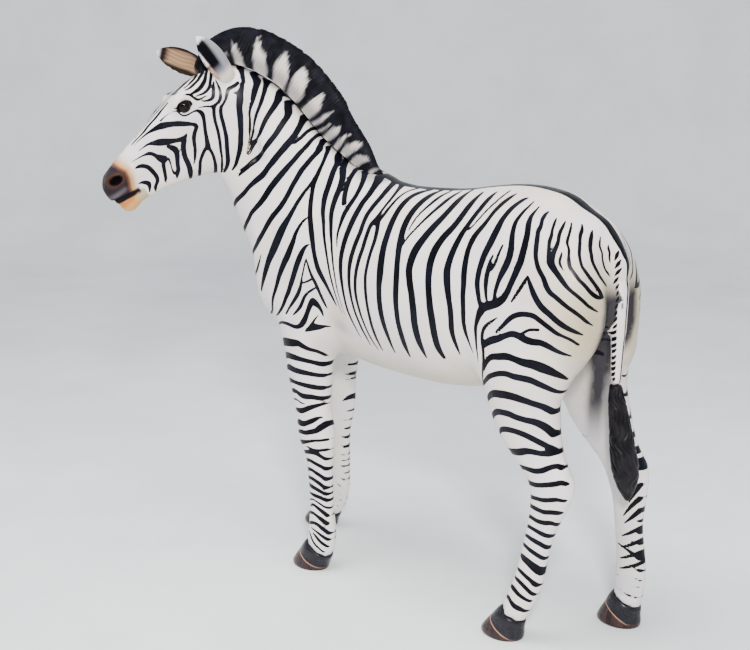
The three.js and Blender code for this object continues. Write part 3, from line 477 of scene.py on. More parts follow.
HIND_STRIPES = [
    [(852, 1030, 8), (838, 1045, 10), (820, 1055, 10), (800, 1065, 14), (780, 1079, 16), (755, 1096, 17),
     (730, 1111, 18), (705, 1114, 18), (680, 1111, 18), (657, 1101, 18), (640, 1087, 17), (625, 1071, 15),
     (610, 1057, 13), (598, 1045, 10)],
    [(835, 994, 6), (818, 1001, 11), (800, 1010, 15), (778, 1022, 19), (755, 1031, 21), (730, 1031, 23),
     (706, 1035, 25), (682, 1044, 24), (656, 1047, 21), (630, 1037, 20), (605, 1025, 24), (580, 1016, 26),
     (560, 1005, 24), (549, 992, 16)],
    [(747, 1070, 10), (735, 1070, 11), (715, 1066, 10), (698, 1056, 10), (688, 1048, 12)],
    [(812, 915, 8), (803, 929, 20), (782, 943, 29), (756, 954, 34), (730, 961, 31), (700, 963, 26),
     (670, 969, 23), (640, 973, 24), (610, 968, 24), (580, 962, 21), (562, 946, 18), (550, 926, 13),
     (543, 912, 8)],
    [(790, 868, 12), (782, 876, 16), (768, 887, 19), (746, 900, 22), (725, 909, 23), (700, 912, 23),
     (670, 913, 22), (640, 917, 20), (615, 914, 19), (590, 906, 18), (566, 894, 18), (544, 877, 16),
     (528, 862, 13), (518, 852, 7)],
    [(768, 800, 14), (760, 812, 20), (748, 823, 23), (725, 832, 22), (700, 840, 24), (670, 846, 26),
     (640, 848, 27), (612, 846, 27), (586, 842, 25), (562, 830, 22), (545, 815, 18), (530, 803, 14),
     (521, 797, 8)],
    [(772, 726, 14), (763, 744, 19), (750, 760, 24), (728, 771, 24), (700, 775, 21), (672, 780, 22),
     (645, 786, 23), (620, 786, 22), (596, 783, 22), (577, 772, 20), (562, 757, 17), (552, 742, 10)],
    [(585, 700, 7), (596, 716, 16), (612, 726, 20), (636, 731, 21), (664, 731, 21), (692, 726, 22),
     (718, 717, 21), (742, 705, 20), (762, 692, 18), (776, 680, 16)],
    [(592, 652, 8), (606, 645, 18), (622, 649, 23), (646, 654, 25), (670, 660, 26), (696, 669, 24),
     (720, 671, 21), (746, 668, 19), (766, 670, 22), (783, 672, 16)],
    [(640, 596, 12), (652, 600, 19), (676, 606, 17), (700, 607, 18), (725, 607, 19), (750, 613, 19),
     (770, 624, 18), (788, 630, 16), (801, 622, 10)],
    [(664, 548, 14), (676, 553, 18), (692, 557, 19), (716, 559, 18), (740, 563, 17), (766, 569, 17),
     (790, 575, 18), (810, 581, 17), (822, 575, 10)],
    [(678, 504, 12), (692, 508, 14), (706, 511, 15), (730, 514, 15), (756, 516, 16), (780, 521, 16),
     (800, 525, 15), (818, 521, 12)],
    [(680, 474, 10), (692, 478, 14), (706, 479, 16), (730, 478, 17), (756, 475, 17), (780, 478, 18),
     (798, 477, 18)],
    [(679, 437, 10), (692, 441, 14), (706, 442, 15), (730, 438, 16), (756, 437, 18), (776, 439, 17),
     (786, 430, 14)],
    [(677, 404, 10), (692, 408, 13), (706, 407, 14), (726, 403, 16), (746, 396, 18), (764, 389, 17)],
    [(672, 372, 9), (690, 374, 14), (706, 371, 16), (724, 366, 18), (742, 358, 18), (756, 346, 15)],
    [(666, 341, 9), (678, 340, 14), (692, 337, 14), (712, 329, 16), (732, 319, 16), (746, 308, 13)],
    [(660, 301, 12), (672, 299, 22), (688, 295, 25), (706, 287, 27), (724, 275, 29), (738, 262, 30)],
    [(652, 255, 9), (664, 254, 13), (678, 250, 15), (692, 243, 15), (711, 231, 16), (726, 215, 17)],
    [(645, 224, 9), (656, 222, 13), (668, 219, 15), (684, 211, 15), (702, 197, 15), (717, 181, 14)],
    [(633, 190, 12), (645, 188, 18), (658, 184, 18), (672, 176, 16), (690, 165, 14), (706, 155, 11)],
    [(620, 150, 12), (634, 150, 16), (648, 140, 18), (662, 129, 22), (676, 123, 22), (688, 116, 14)],
]
FORE_STRIPES = [
    [(-425, 856, 18), (-400, 862, 30), (-375, 868, 33), (-350, 871, 32), (-325, 873, 30), (-300, 875, 25),
     (-285, 869, 22), (-268, 861, 18), (-250, 855, 15), (-233, 851, 14), (-222, 842, 12), (-217, 832, 8)],
    [(-412, 803, 14), (-395, 810, 22), (-375, 817, 25), (-355, 820, 25), (-320, 819, 23), (-290, 816, 19),
     (-260, 811, 17), (-240, 806, 17), (-222, 799, 18)],
    [(-378, 768, 16), (-360, 775, 24), (-345, 775, 26), (-310, 771, 23), (-270, 767, 20), (-245, 763, 17),
     (-222, 758, 16)],
    [(-363, 724, 20), (-345, 726, 18), (-320, 724, 16), (-285, 721, 18), (-250, 716, 20), (-225, 711, 18)],
    [(-350, 687, 14), (-337, 689, 20), (-318, 688, 17), (-300, 680, 20), (-280, 676, 22), (-255, 677, 20),
     (-225, 671, 17)],
    [(-342, 655, 10), (-328, 657, 8), (-310, 652, 8), (-292, 648, 6), (-278, 647, 3)],
    [(-334, 617, 14), (-318, 617, 19), (-300, 618, 22), (-280, 626, 21), (-260, 636, 19), (-240, 644, 15),
     (-225, 650, 11)],
    [(-326, 568, 18), (-315, 571, 26), (-292, 570, 23), (-272, 577, 20), (-250, 588, 19), (-236, 597, 14),
     (-225, 601, 8)],
    [(-325, 533, 13), (-305, 537, 18), (-280, 538, 18), (-255, 545, 20), (-236, 552, 21), (-222, 565, 23),
     (-212, 577, 20)],
    [(-316, 493, 18), (-298, 498, 19), (-275, 504, 14), (-245, 512, 11), (-208, 517, 11)],
    [(-278, 485, 6), (-262, 479, 12), (-240, 475, 12), (-210, 478, 12)],
    [(-322, 450, 18), (-302, 457, 16), (-275, 463, 17), (-250, 466, 20), (-235, 460, 16), (-222, 449, 13),
     (-212, 440, 12)],
    [(-322, 420, 14), (-298, 426, 16), (-272, 430, 15), (-250, 424, 15), (-230, 414, 14), (-213, 402, 15)],
    [(-318, 382, 18), (-292, 391, 17), (-270, 394, 14), (-250, 388, 15), (-230, 376, 14), (-214, 362, 15)],
    [(-318, 350, 13), (-296, 357, 15), (-275, 360, 15), (-255, 357, 16), (-235, 346, 15), (-215, 329, 14)],
    [(-312, 321, 14), (-288, 329, 17), (-265, 327, 18), (-245, 322, 15), (-225, 312, 14), (-212, 304, 12)],
    [(-305, 293, 8), (-285, 298, 9), (-262, 297, 14), (-240, 294, 15), (-225, 289, 14), (-210, 280, 13)],
    [(-300, 263, 5), (-280, 274, 7), (-260, 278, 7), (-240, 272, 7), (-220, 260, 8), (-205, 250, 7)],
    [(-282, 248, 8), (-270, 256, 12), (-255, 258, 12), (-240, 251, 13), (-220, 237, 14), (-207, 222, 12)],
    [(-303, 213, 16), (-285, 221, 13), (-265, 226, 12), (-245, 221, 13), (-225, 210, 15), (-206, 192, 14)],
    [(-305, 172, 16), (-285, 181, 13), (-265, 188, 13), (-245, 190, 13), (-228, 183, 14), (-208, 167, 14),
     (-197, 155, 11)],
    [(-268, 169, 4), (-250, 164, 7), (-232, 157, 9), (-215, 146, 11), (-198, 132, 12)],
    [(-255, 151, 6), (-243, 144, 10), (-228, 130, 12), (-212, 115, 12), (-202, 104, 10)],
    [(-282, 150, 6), (-268, 138, 10), (-258, 124, 10), (-242, 108, 9), (-226, 95, 9), (-214, 82, 7)],
]
HEAD_STRIPES = [
    [(8, 82, 8), (26, 76, 9), (41, 67, 10), (56, 57, 13), (70, 51, 14), (84, 47, 15), (98, 45, 14),
     (112, 46, 13), (125, 48, 9), (134, 51, 6)],
    [(11, 68, 8), (24, 59, 11), (38, 48, 11), (50, 39, 11), (60, 31, 11), (72, 26, 11), (84, 24, 11),
     (98, 25, 9), (110, 29, 7), (124, 33, 4)],
    [(26, 86, 5), (40, 80, 8), (58, 74, 9), (76, 69, 8), (94, 67, 8), (110, 66, 8), (126, 67, 6),
     (140, 71, 4)],
    [(50, 87, 4), (64, 82, 6), (82, 78, 6), (100, 76, 6), (118, 75, 4), (136, 76, 3)],
    [(70, 85, 3), (100, 83, 4), (130, 82, 4), (160, 81, 3), (185, 80, 2)],
    [(154, 62, 4), (146, 57, 8), (139, 50, 10), (135, 40, 10), (132, 30, 10), (127, 21, 10), (119, 16, 8),
     (108, 14, 6), (98, 13, 6), (91, 11, 4)],
    [(37, 34, 5), (48, 24, 11), (56, 15, 13), (64, 5, 14), (72, -4, 14), (83, -8, 13), (94, -6, 11),
     (104, -2, 8), (111, 3, 7), (116, 8, 4)],
    [(27, 36, 4), (31, 24, 7), (35, 10, 10), (41, -4, 11), (49, -16, 12), (58, -26, 14), (68, -31, 12),
     (80, -33, 11), (92, -33, 12), (102, -28, 9), (114, -19, 7), (128, -11, 5), (141, -5, 3)],
    [(88, -34, 12), (98, -42, 14), (108, -57, 14), (120, -80, 12), (131, -109, 12), (142, -133, 12),
     (155, -158, 11), (166, -178, 10), (174, -196, 8), (185, -216, 8), (195, -233, 8), (207, -251, 6)],
    [(-30, -18, 12), (-17, -19, 14), (0, -17, 14), (12, -16, 15), (22, -21, 14), (35, -32, 12),
     (46, -40, 10), (58, -46, 10), (70, -50, 12), (77, -55, 14), (84, -64, 14), (93, -80, 14),
     (101, -100, 14), (113, -127, 14), (126, -153, 15), (143, -180, 14), (159, -207, 14), (172, -227, 13),
     (187, -243, 10), (200, -254, 7)],
    [(-66, -8, 8), (-45, -26, 12), (-28, -40, 18), (-10, -52, 24), (4, -68, 26), (20, -84, 23),
     (32, -100, 22), (45, -120, 22), (59, -140, 20), (72, -158, 19), (88, -178, 19), (104, -198, 19),
     (122, -216, 17), (140, -231, 14), (158, -246, 11), (178, -258, 6)],
    [(-12, -48, 16), (0, -42, 12), (6, -36, 5)],
    [(150, -10, 10), (162, -6, 7), (176, -4, 6), (190, -2, 7), (202, 4, 7), (208, 14, 7), (211, 26, 6),
     (215, 34, 5), (228, 38, 3), (250, 39, 3), (278, 35, 6)],
    [(158, -6, 6), (150, -13, 11), (145, -21, 16), (143, -32, 18), (149, -50, 15), (159, -69, 14),
     (170, -90, 14), (180, -111, 15), (189, -129, 18), (196, -143, 22)],
    [(196, -143, 16), (195, -160, 12), (198, -180, 12), (203, -198, 12), (211, -220, 13), (221, -241, 12),
     (226, -250, 9)],
    [(196, -143, 16), (206, -143, 14), (220, -151, 13), (236, -162, 13), (249, -174, 13), (260, -190, 14),
     (269, -203, 14), (276, -218, 12)],
    [(409, 17, 2), (383, 22, 3), (357, 25, 5), (336, 26, 8), (315, 24, 14), (299, 22, 20), (283, 18, 25),
     (267, 11, 22), (252, 3, 21), (236, -7, 21), (220, -19, 20), (207, -29, 17), (195, -39, 14),
     (187, -48, 15), (187, -57, 16), (199, -66, 16), (212, -78, 17), (221, -91, 16), (229, -108, 14),
     (237, -124, 13), (249, -141, 12), (261, -156, 8), (272, -165, 4)],
    [(412, -6, 2), (396, -5, 4), (378, -5, 6), (362, -6, 10), (346, -14, 18), (330, -22, 26),
     (315, -31, 27), (302, -39, 24), (286, -47, 19), (270, -56, 18), (254, -62, 19), (241, -62, 15),
     (232, -56, 6)],
    [(252, -71, 21), (266, -87, 21), (275, -106, 21), (282, -124, 20), (286, -145, 21), (291, -164, 21),
     (298, -182, 21), (305, -198, 16), (307, -208, 10)],
    [(313, -53, 12), (304, -66, 20), (297, -79, 24), (300, -95, 21), (308, -111, 19), (319, -129, 17),
     (329, -147, 17), (341, -158, 17), (350, -169, 8)],
    [(459, -20, 2), (436, -23, 4), (415, -25, 6), (399, -28, 8), (383, -33, 14), (373, -43, 15),
     (367, -56, 16), (359, -72, 27), (352, -83, 32)],
    [(363, -98, 16), (370, -114, 15), (377, -129, 14), (385, -145, 13), (392, -154, 9), (391, -160, 4)],
    [(336, -93, 10), (338, -108, 7), (344, -124, 6), (348, -137, 7), (350, -150, 10)],
    [(453, -47, 6), (440, -49, 13), (427, -56, 16), (416, -69, 17), (411, -85, 18), (409, -103, 17),
     (409, -122, 17), (416, -136, 15), (429, -144, 13), (437, -153, 13), (442, -164, 5)],
    [(478, -100, 4), (465, -104, 11), (453, -114, 17), (447, -124, 18), (452, -136, 13), (462, -150, 6)],
    [(215, 70, 3), (230, 65, 4), (250, 60, 6), (283, 51, 6), (304, 47, 6), (325, 42, 6), (346, 36, 6),
     (367, 32, 4), (388, 28, 4), (410, 24, 3)],
    [(227, 77, 3), (277, 66, 4), (318, 56, 4), (360, 45, 4), (397, 33, 3)],
    [(8, -122, 4), (24, -144, 6), (38, -162, 7), (49, -175, 6), (58, -189, 5), (66, -197, 3)],
    [(29, -173, 4), (42, -187, 7), (56, -198, 8), (69, -209, 6), (78, -215, 3)],
    [(43, -211, 4), (53, -220, 8), (67, -227, 7), (80, -233, 6), (93, -240, 5), (104, -243, 3)],
    [(194, 35, 12), (206, 41, 8), (216, 46, 3)],
    [(168, 26, 9), (157, 21, 6), (149, 17, 3)],
]
# Along the bridge of the nose, the same on both sides: (u, w, width).
BRIDGE_STRIPES = [
    [(100, 0, 3), (150, 0, 6), (220, 0, 7), (300, 0, 4), (350, 0, 3)],
    [(110, 13, 3), (150, 15, 7), (210, 16, 8), (290, 11, 6), (370, 6, 3)],
    [(130, 27, 3), (160, 30, 6), (220, 30, 8), (300, 21, 6), (385, 12, 3)],
]
# The throat side of the neck, away from the turned head: (y, z, width).
FAR_NECK_STRIPES = [
    [(-640, 1856, 6), (-614, 1790, 13), (-608, 1700, 15), (-620, 1610, 13), (-652, 1530, 11),
     (-690, 1482, 5)],
    [(-682, 1846, 6), (-656, 1780, 14), (-650, 1700, 16), (-664, 1620, 14), (-702, 1556, 6)],
    [(-722, 1826, 5), (-702, 1770, 12), (-696, 1700, 14), (-710, 1640, 11), (-738, 1600, 5)],
]
# The right hock and cannon, seen from behind: (y, z, width).
RIGHT_HOCK_STRIPES = [
    [(860, 676, 5), (874, 662, 11), (886, 652, 12)], [(864, 642, 6), (880, 630, 13), (892, 622, 15)],
    [(872, 594, 10), (890, 590, 30), (914, 584, 36)], [(882, 456, 5), (898, 488, 13), (914, 520, 15)],
    [(862, 404, 5), (886, 438, 13), (910, 468, 16)], [(866, 378, 5), (890, 402, 13), (910, 426, 15)],
    [(856, 330, 5), (884, 346, 12), (910, 364, 14)], [(854, 290, 5), (882, 302, 12), (912, 320, 14)],
    [(852, 250, 5), (880, 262, 12), (914, 280, 14)], [(852, 214, 5), (882, 226, 11), (918, 242, 13)],
]
# Seen from behind and a little to the left, where the rump turns away: (s, z, width).
REAR_STRIPES = [
    [(485, 1322, 4), (482, 1312, 9), (484, 1300, 9), (481, 1288, 8), (481, 1276, 6), (482, 1269, 3)],
    [(464, 1346, 4), (456, 1332, 8), (451, 1318, 9), (454, 1300, 9), (451, 1282, 9), (454, 1265, 10),
     (460, 1250, 9), (471, 1237, 8), (478, 1228, 3)],
    [(444, 1366, 4), (434, 1353, 12), (422, 1335, 15), (412, 1318, 15), (409, 1300, 15), (407, 1282, 14),
     (412, 1265, 13), (421, 1247, 12), (429, 1232, 11), (440, 1218, 10), (453, 1206, 8), (459, 1199, 3)],
    [(421, 1382, 5), (413, 1369, 9), (397, 1353, 10), (385, 1335, 10), (375, 1318, 11), (368, 1300, 10),
     (366, 1281, 10), (369, 1265, 11), (379, 1247, 13), (391, 1229, 14), (403, 1212, 14), (415, 1194, 15),
     (426, 1178, 14), (432, 1172, 8)],
    [(394, 1387, 4), (385, 1376, 6), (371, 1362, 7), (353, 1344, 8), (345, 1332, 8), (344, 1318, 8),
     (338, 1300, 8), (334, 1282, 11), (334, 1265, 12), (343, 1247, 12), (353, 1229, 12), (368, 1212, 13),
     (382, 1194, 14), (397, 1181, 15), (412, 1174, 13), (426, 1173, 10), (438, 1172, 3)],
    [(322, 1307, 4), (316, 1294, 7), (311, 1281, 7), (312, 1268, 7), (316, 1256, 3)],
    [(378, 1391, 4), (365, 1381, 7), (347, 1368, 9), (332, 1353, 10), (321, 1335, 10), (309, 1318, 11),
     (298, 1297, 13), (290, 1279, 20), (294, 1262, 18), (303, 1241, 15), (312, 1221, 14), (323, 1203, 12),
     (341, 1185, 12), (359, 1168, 12), (376, 1151, 11), (394, 1140, 9), (413, 1129, 3)],
    [(355, 1400, 4), (338, 1387, 7), (323, 1373, 8), (312, 1356, 9), (300, 1338, 10), (294, 1321, 9),
     (291, 1306, 11), (290, 1291, 16), (290, 1279, 18)],
    [(344, 1418, 4), (326, 1410, 7), (306, 1397, 9), (291, 1379, 10), (279, 1365, 11), (271, 1344, 12),
     (265, 1323, 12), (260, 1300, 11), (259, 1276, 11), (263, 1253, 12), (271, 1229, 12), (275, 1206, 13),
     (282, 1188, 14), (297, 1171, 14), (315, 1151, 13), (335, 1135, 13), (356, 1118, 12), (376, 1101, 11),
     (397, 1089, 4)],
    [(515, 1304, 4), (507, 1292, 13), (497, 1276, 4)], [(518, 1277, 4), (507, 1265, 13), (496, 1252, 4)],
    [(518, 1252, 4), (507, 1241, 13), (496, 1229, 4)], [(509, 1225, 4), (501, 1214, 12), (493, 1204, 4)],
    [(511, 1203, 4), (506, 1194, 10), (502, 1185, 3)],
]
# Short ticks down the left of the tail: (s, z) of each middle.
TAIL_TICKS = [(508, 1174), (509, 1154), (509, 1132), (509, 1110), (510, 1090), (511, 1068), (511, 1047),
              (512, 1026), (513, 1006), (514, 988), (516, 967), (516, 947), (517, 930), (517, 911),
              (518, 893)]
REAR_STRIPES += [[(s + 3, z + 9, 3), (s, z, 8), (s - 3, z - 8, 3)] for s, z in TAIL_TICKS]
# The dark line down the middle of the back: (y, width), then down the dock and tail: (z, width).
BACK_LINE = [(-150, 14), (-60, 50), (118, 80), (249, 86), (375, 84), (456, 72), (524, 66), (594, 62),
             (652, 60), (733, 54), (785, 40), (835, 38), (861, 40)]
TAIL_LINE = [(870, 7), (1000, 7), (1100, 8), (1190, 10), (1218, 13), (1240, 17), (1260, 20), (1278, 27),
             (1292, 34), (1320, 40), (1360, 40)]
# How far each right leg stands ahead of its fellow (-) or behind it: (z, shift)
RIGHT_FORE = [(60, -290), (220, -240), (460, -222), (650, -186), (800, -166), (1090, -120), (1300, 0)]
RIGHT_HIND = [(60, 236), (160, 205), (300, 166), (360, 148), (440, 126), (540, 92), (650, 80),
              (763, 62), (880, 32), (1000, 2), (1170, -12), (1290, -16), (1400, 0)]
REAR_TURN = math.radians(155)       # the way that s runs, turned from the animal's left
UNPAINTED = 30.0                    # the gap in mm where no stroke is near


def drawn(stroke, step=8.0):
    """The stroke as a smooth run of points through the given ones."""
    p = np.array(stroke, float)
    p = np.vstack([2 * p[0] - p[1], p, 2 * p[-1] - p[-2]])
    p[0, -1], p[-1, -1] = p[1, -1], p[-2, -1]
    run = []
    for a, b, c, d in zip(p[:-3], p[1:-2], p[2:-1], p[3:]):
        n = max(2, int(np.linalg.norm((c - b)[:-1]) / step) + 1)
        t = np.arange(n)[:, None] / n
        run.append(0.5 * (2 * b + (c - a) * t + (2 * a - 5 * b + 4 * c - d) * t * t
                          + (3 * b - a - 3 * c + d) * t ** 3))
    return np.vstack(run + [p[-2:-1]])


def paint_gap(points, strokes, far=UNPAINTED):
    """Distance in mm from each point to the nearest stroke's edge, negative inside the paint, and
    half the width of that stroke there."""
    gap, size = np.full(len(points), far), np.full(len(points), 20.0)
    for stroke in strokes:
        run = drawn(stroke)
        p, half = run[:, :2], np.maximum(run[:, 2] / 2, 0.5)
        close = np.all((points > p.min(0) - far - 15) & (points < p.max(0) + far + 15), axis=1)
        where = np.nonzero(close)[0]
        if not len(where):
            continue
        q = points[where]
        best, wide = gap[where], size[where]
        for a, b, ra, rb in zip(p[:-1], p[1:], half[:-1], half[1:]):
            d = b - a
            t = np.clip((q - a) @ d / max(d @ d, 1e-9), 0, 1)
            r = ra + (rb - ra) * t
            off = np.linalg.norm(q - a - t[:, None] * d, axis=1) - r
            wide = np.where(off < best, r, wide)
            best = np.minimum(best, off)
        gap[where], size[where] = best, wide
    return gap, size


def stripes(co, n):
    """The gap from every point of the skin to the black paint, and the size of the nearest stroke."""
    x, y, z = co.T
    right = x < MID
    side = np.abs(x - MID)
    shift = np.where(y < 60, np.interp(z, *zip(*RIGHT_FORE)) * ease(-y, -60, 200),
                     np.interp(z, *zip(*RIGHT_HIND)) * ease(y, 60, 250))
    flat = np.stack([np.where(right, y - shift, y), z], axis=1)
    gap, size = np.full(len(co), UNPAINTED), np.full(len(co), 20.0)

    def add(where, points, strokes, thin=0.0):
        new, wide = paint_gap(points[where], strokes)
        new = new + (thin[where] if np.ndim(thin) else thin)
        take = new < gap[where]
        rows = np.nonzero(where)[0][take]
        gap[rows], size[rows] = new[take], wide[take]

    # The body's strokes end behind the jaw. They thin out on the insides of the legs.
    u, v, w = head_axes(co).T
    near_head = (u > -45) & (z > 1350) & (np.abs(w) < 160)
    body = ~(near_head & (u + v > -108))
    inner = np.clip(n[:, 0] * np.where(right, 1, -1), 0, 1)
    fade = inner ** 1.5 * (13 - 5 * ease(-z, -420, -250)) * ease(-z, -1020, -920)
    add(body & (z > 820), flat, NECK_STRIPES + SHOULDER_STRIPES + BARREL_STRIPES + RUMP_STRIPES, fade)
    add(body & (z < 1130), flat, HIND_STRIPES + FORE_STRIPES, fade)
    throat = body & (y < -560) & (z > 1440) & (n[:, 0] < 0.3)
    add(throat, flat, FAR_NECK_STRIPES, 12 * ease(n[:, 0], -0.35, 0.2))
    add(right & (y > 845) & (z > 190) & (z < 700), np.stack([y, z], axis=1), RIGHT_HOCK_STRIPES)
    # The rump, from behind: both sides are drawn as the left one is.
    bx = MID + side
    s = bx * math.cos(REAR_TURN) + y * math.sin(REAR_TURN)
    facing = -n[:, 1] * math.cos(REAR_TURN) + n[:, 0] * np.where(right, -1, 1) * math.sin(REAR_TURN)
    add((y > 560) & (z > 880) & (facing > -0.2) & (side > 2), np.stack([s, z], axis=1), REAR_STRIPES)
    # The face, the same on both sides, with a dark rim round each eye.
    head = (u > -80) & (z > 1350) & (np.abs(w) < 160) & ((u + v > -160) | (u > 0))
    add(head, np.stack([u, v], axis=1), HEAD_STRIPES)
    bridge = head & (u > 20) & (u < 420) & (v > 20) & (n @ HEAD_AXES[1] > 0.45)
    add(bridge, np.stack([u, np.abs(w)], axis=1), BRIDGE_STRIPES)
    r = (oval_gap(head_axes(co), *EYE_OPENING) - 1.0) * 17 - 4.2
    rim = (r < 20) & (np.abs(w) > 50)
    gap[rim] = np.minimum(gap[rim], r[rim])
    size[rim] = 4.0
    # The line down the back and the tail.
    back = side - np.interp(y, *zip(*BACK_LINE)) / 2
    top = (y > -150) & (n[:, 2] > 0.2) & (z > 1335)
    gap[top] = np.minimum(gap[top], back[top])
    tail = side - np.interp(z, *zip(*TAIL_LINE)) / 2
    rear = (y > 820) & (n[:, 1] > 0) & (z < 1360) & (z > 860) & (side < 60)
    gap[rear] = np.minimum(gap[rear], tail[rear])
    return gap, size


# The skin is made finer where a stroke is narrow beside the triangles it crosses: an edge that lies
# close to the paint is halved while it is longer than least, in mm, and than ratio half strokes.
for ratio, least in ((1.4, 9.0), (2.1, 6.4), (2.4, 4.8)):
    gap, size = stripes(co, normals(co, tri))

    def pick(edges):
        a, b = edges.T
        long = np.linalg.norm(co[a] - co[b], axis=1)
        close = np.minimum(np.abs(gap[a]), np.abs(gap[b])) < 0.62 * long
        return close & (long > least) & (long > ratio * np.minimum(size[a], size[b]))
    co, tri = split(co, tri, pick)
gap, _ = stripes(co, normals(co, tri))

# MOULDED SHELL, the airbrushed ground and its painted shade.
# Over the white ground thin beige, tan, olive and blush were misted on with an airbrush, and the muzzle went
# dark with a tan ring. The slate mists are painted shade under the belly and chest, between the legs and in
# the elbow's crease; so are the beige under the belly, between the hind legs and in the fold behind the jaw.
# Each mist is a soft ball: middle (from the middle plane, y, z), radii, colour.
WHITE = (0.80, 0.735, 0.705)
BEIGE = (0.47, 0.40, 0.28)
TAN = (0.42, 0.30, 0.19)
# Painted shade, misted under the belly, under the chest, between the legs and at the elbow.
SLATE_SHADE = (0.20, 0.215, 0.25)
BLUSH = (0.66, 0.56, 0.50)
INK = (0.012, 0.010, 0.012)
OLIVE = (0.40, 0.33, 0.19)
# The dark streak that runs down behind the tail and inside the thighs, part dark paint and part painted
# shade: (z, y).
CLEFT_DARK_AND_SHADE = [(600, 752), (760, 758), (820, 762), (872, 770), (943, 784), (1047, 836), (1150, 872)]
MISTS = [
    ((0, 240, 790), (230, 330, 105), BEIGE, 0.75), ((0, 60, 770), (190, 190, 70), SLATE_SHADE, 0.45),
    ((0, 480, 860), (110, 110, 110), SLATE_SHADE, 0.55), ((60, -110, 850), (110, 110, 70), SLATE_SHADE, 0.65),
    ((190, -100, 1005), (90, 62, 68), TAN, 0.50), ((190, -98, 962), (60, 38, 26), SLATE_SHADE, 0.65),
    ((190, -222, 872), (60, 34, 40), TAN, 0.45), ((90, 880, 1110), (95, 70, 190), BEIGE, 0.75),
    ((210, 810, 1140), (80, 90, 140), OLIVE, 0.6), ((160, 870, 1080), (90, 80, 160), OLIVE, 0.9),
    ((150, 850, 960), (90, 60, 130), BEIGE, 0.6), ((190, -560, 1650), (90, 34, 170), BEIGE, 0.5),
    ((230, 760, 1200), (60, 110, 130), BLUSH, 0.5), ((170, 690, 850), (100, 110, 70), BLUSH, 0.5),
    ((60, 600, 1450), (110, 190, 60), BLUSH, 0.75), ((60, 720, 880), (50, 40, 130), BEIGE, 0.6),
    ((0, -330, 870), (120, 120, 60), SLATE_SHADE, 0.3), ((130, 250, 1330), (70, 300, 60), BLUSH, 0.3),
]
CREST = [(-760, 1850), (-700, 1868), (-672, 1880), (-620, 1858), (-555, 1822), (-500, 1782), (-452, 1732),
         (-410, 1680), (-360, 1622), (-330, 1594), (-285, 1562), (-250, 1538), (-210, 1508), (-135, 1484),
         (-60, 1470)]     # the foot of the mane, (y, z)


def blend(colour, other, share):
    """Mists a second colour over the first, by a share from 0 to 1 at each point."""
    share = np.clip(share, 0, 1)[:, None]
    return colour * (1 - share) + np.array(other) * share


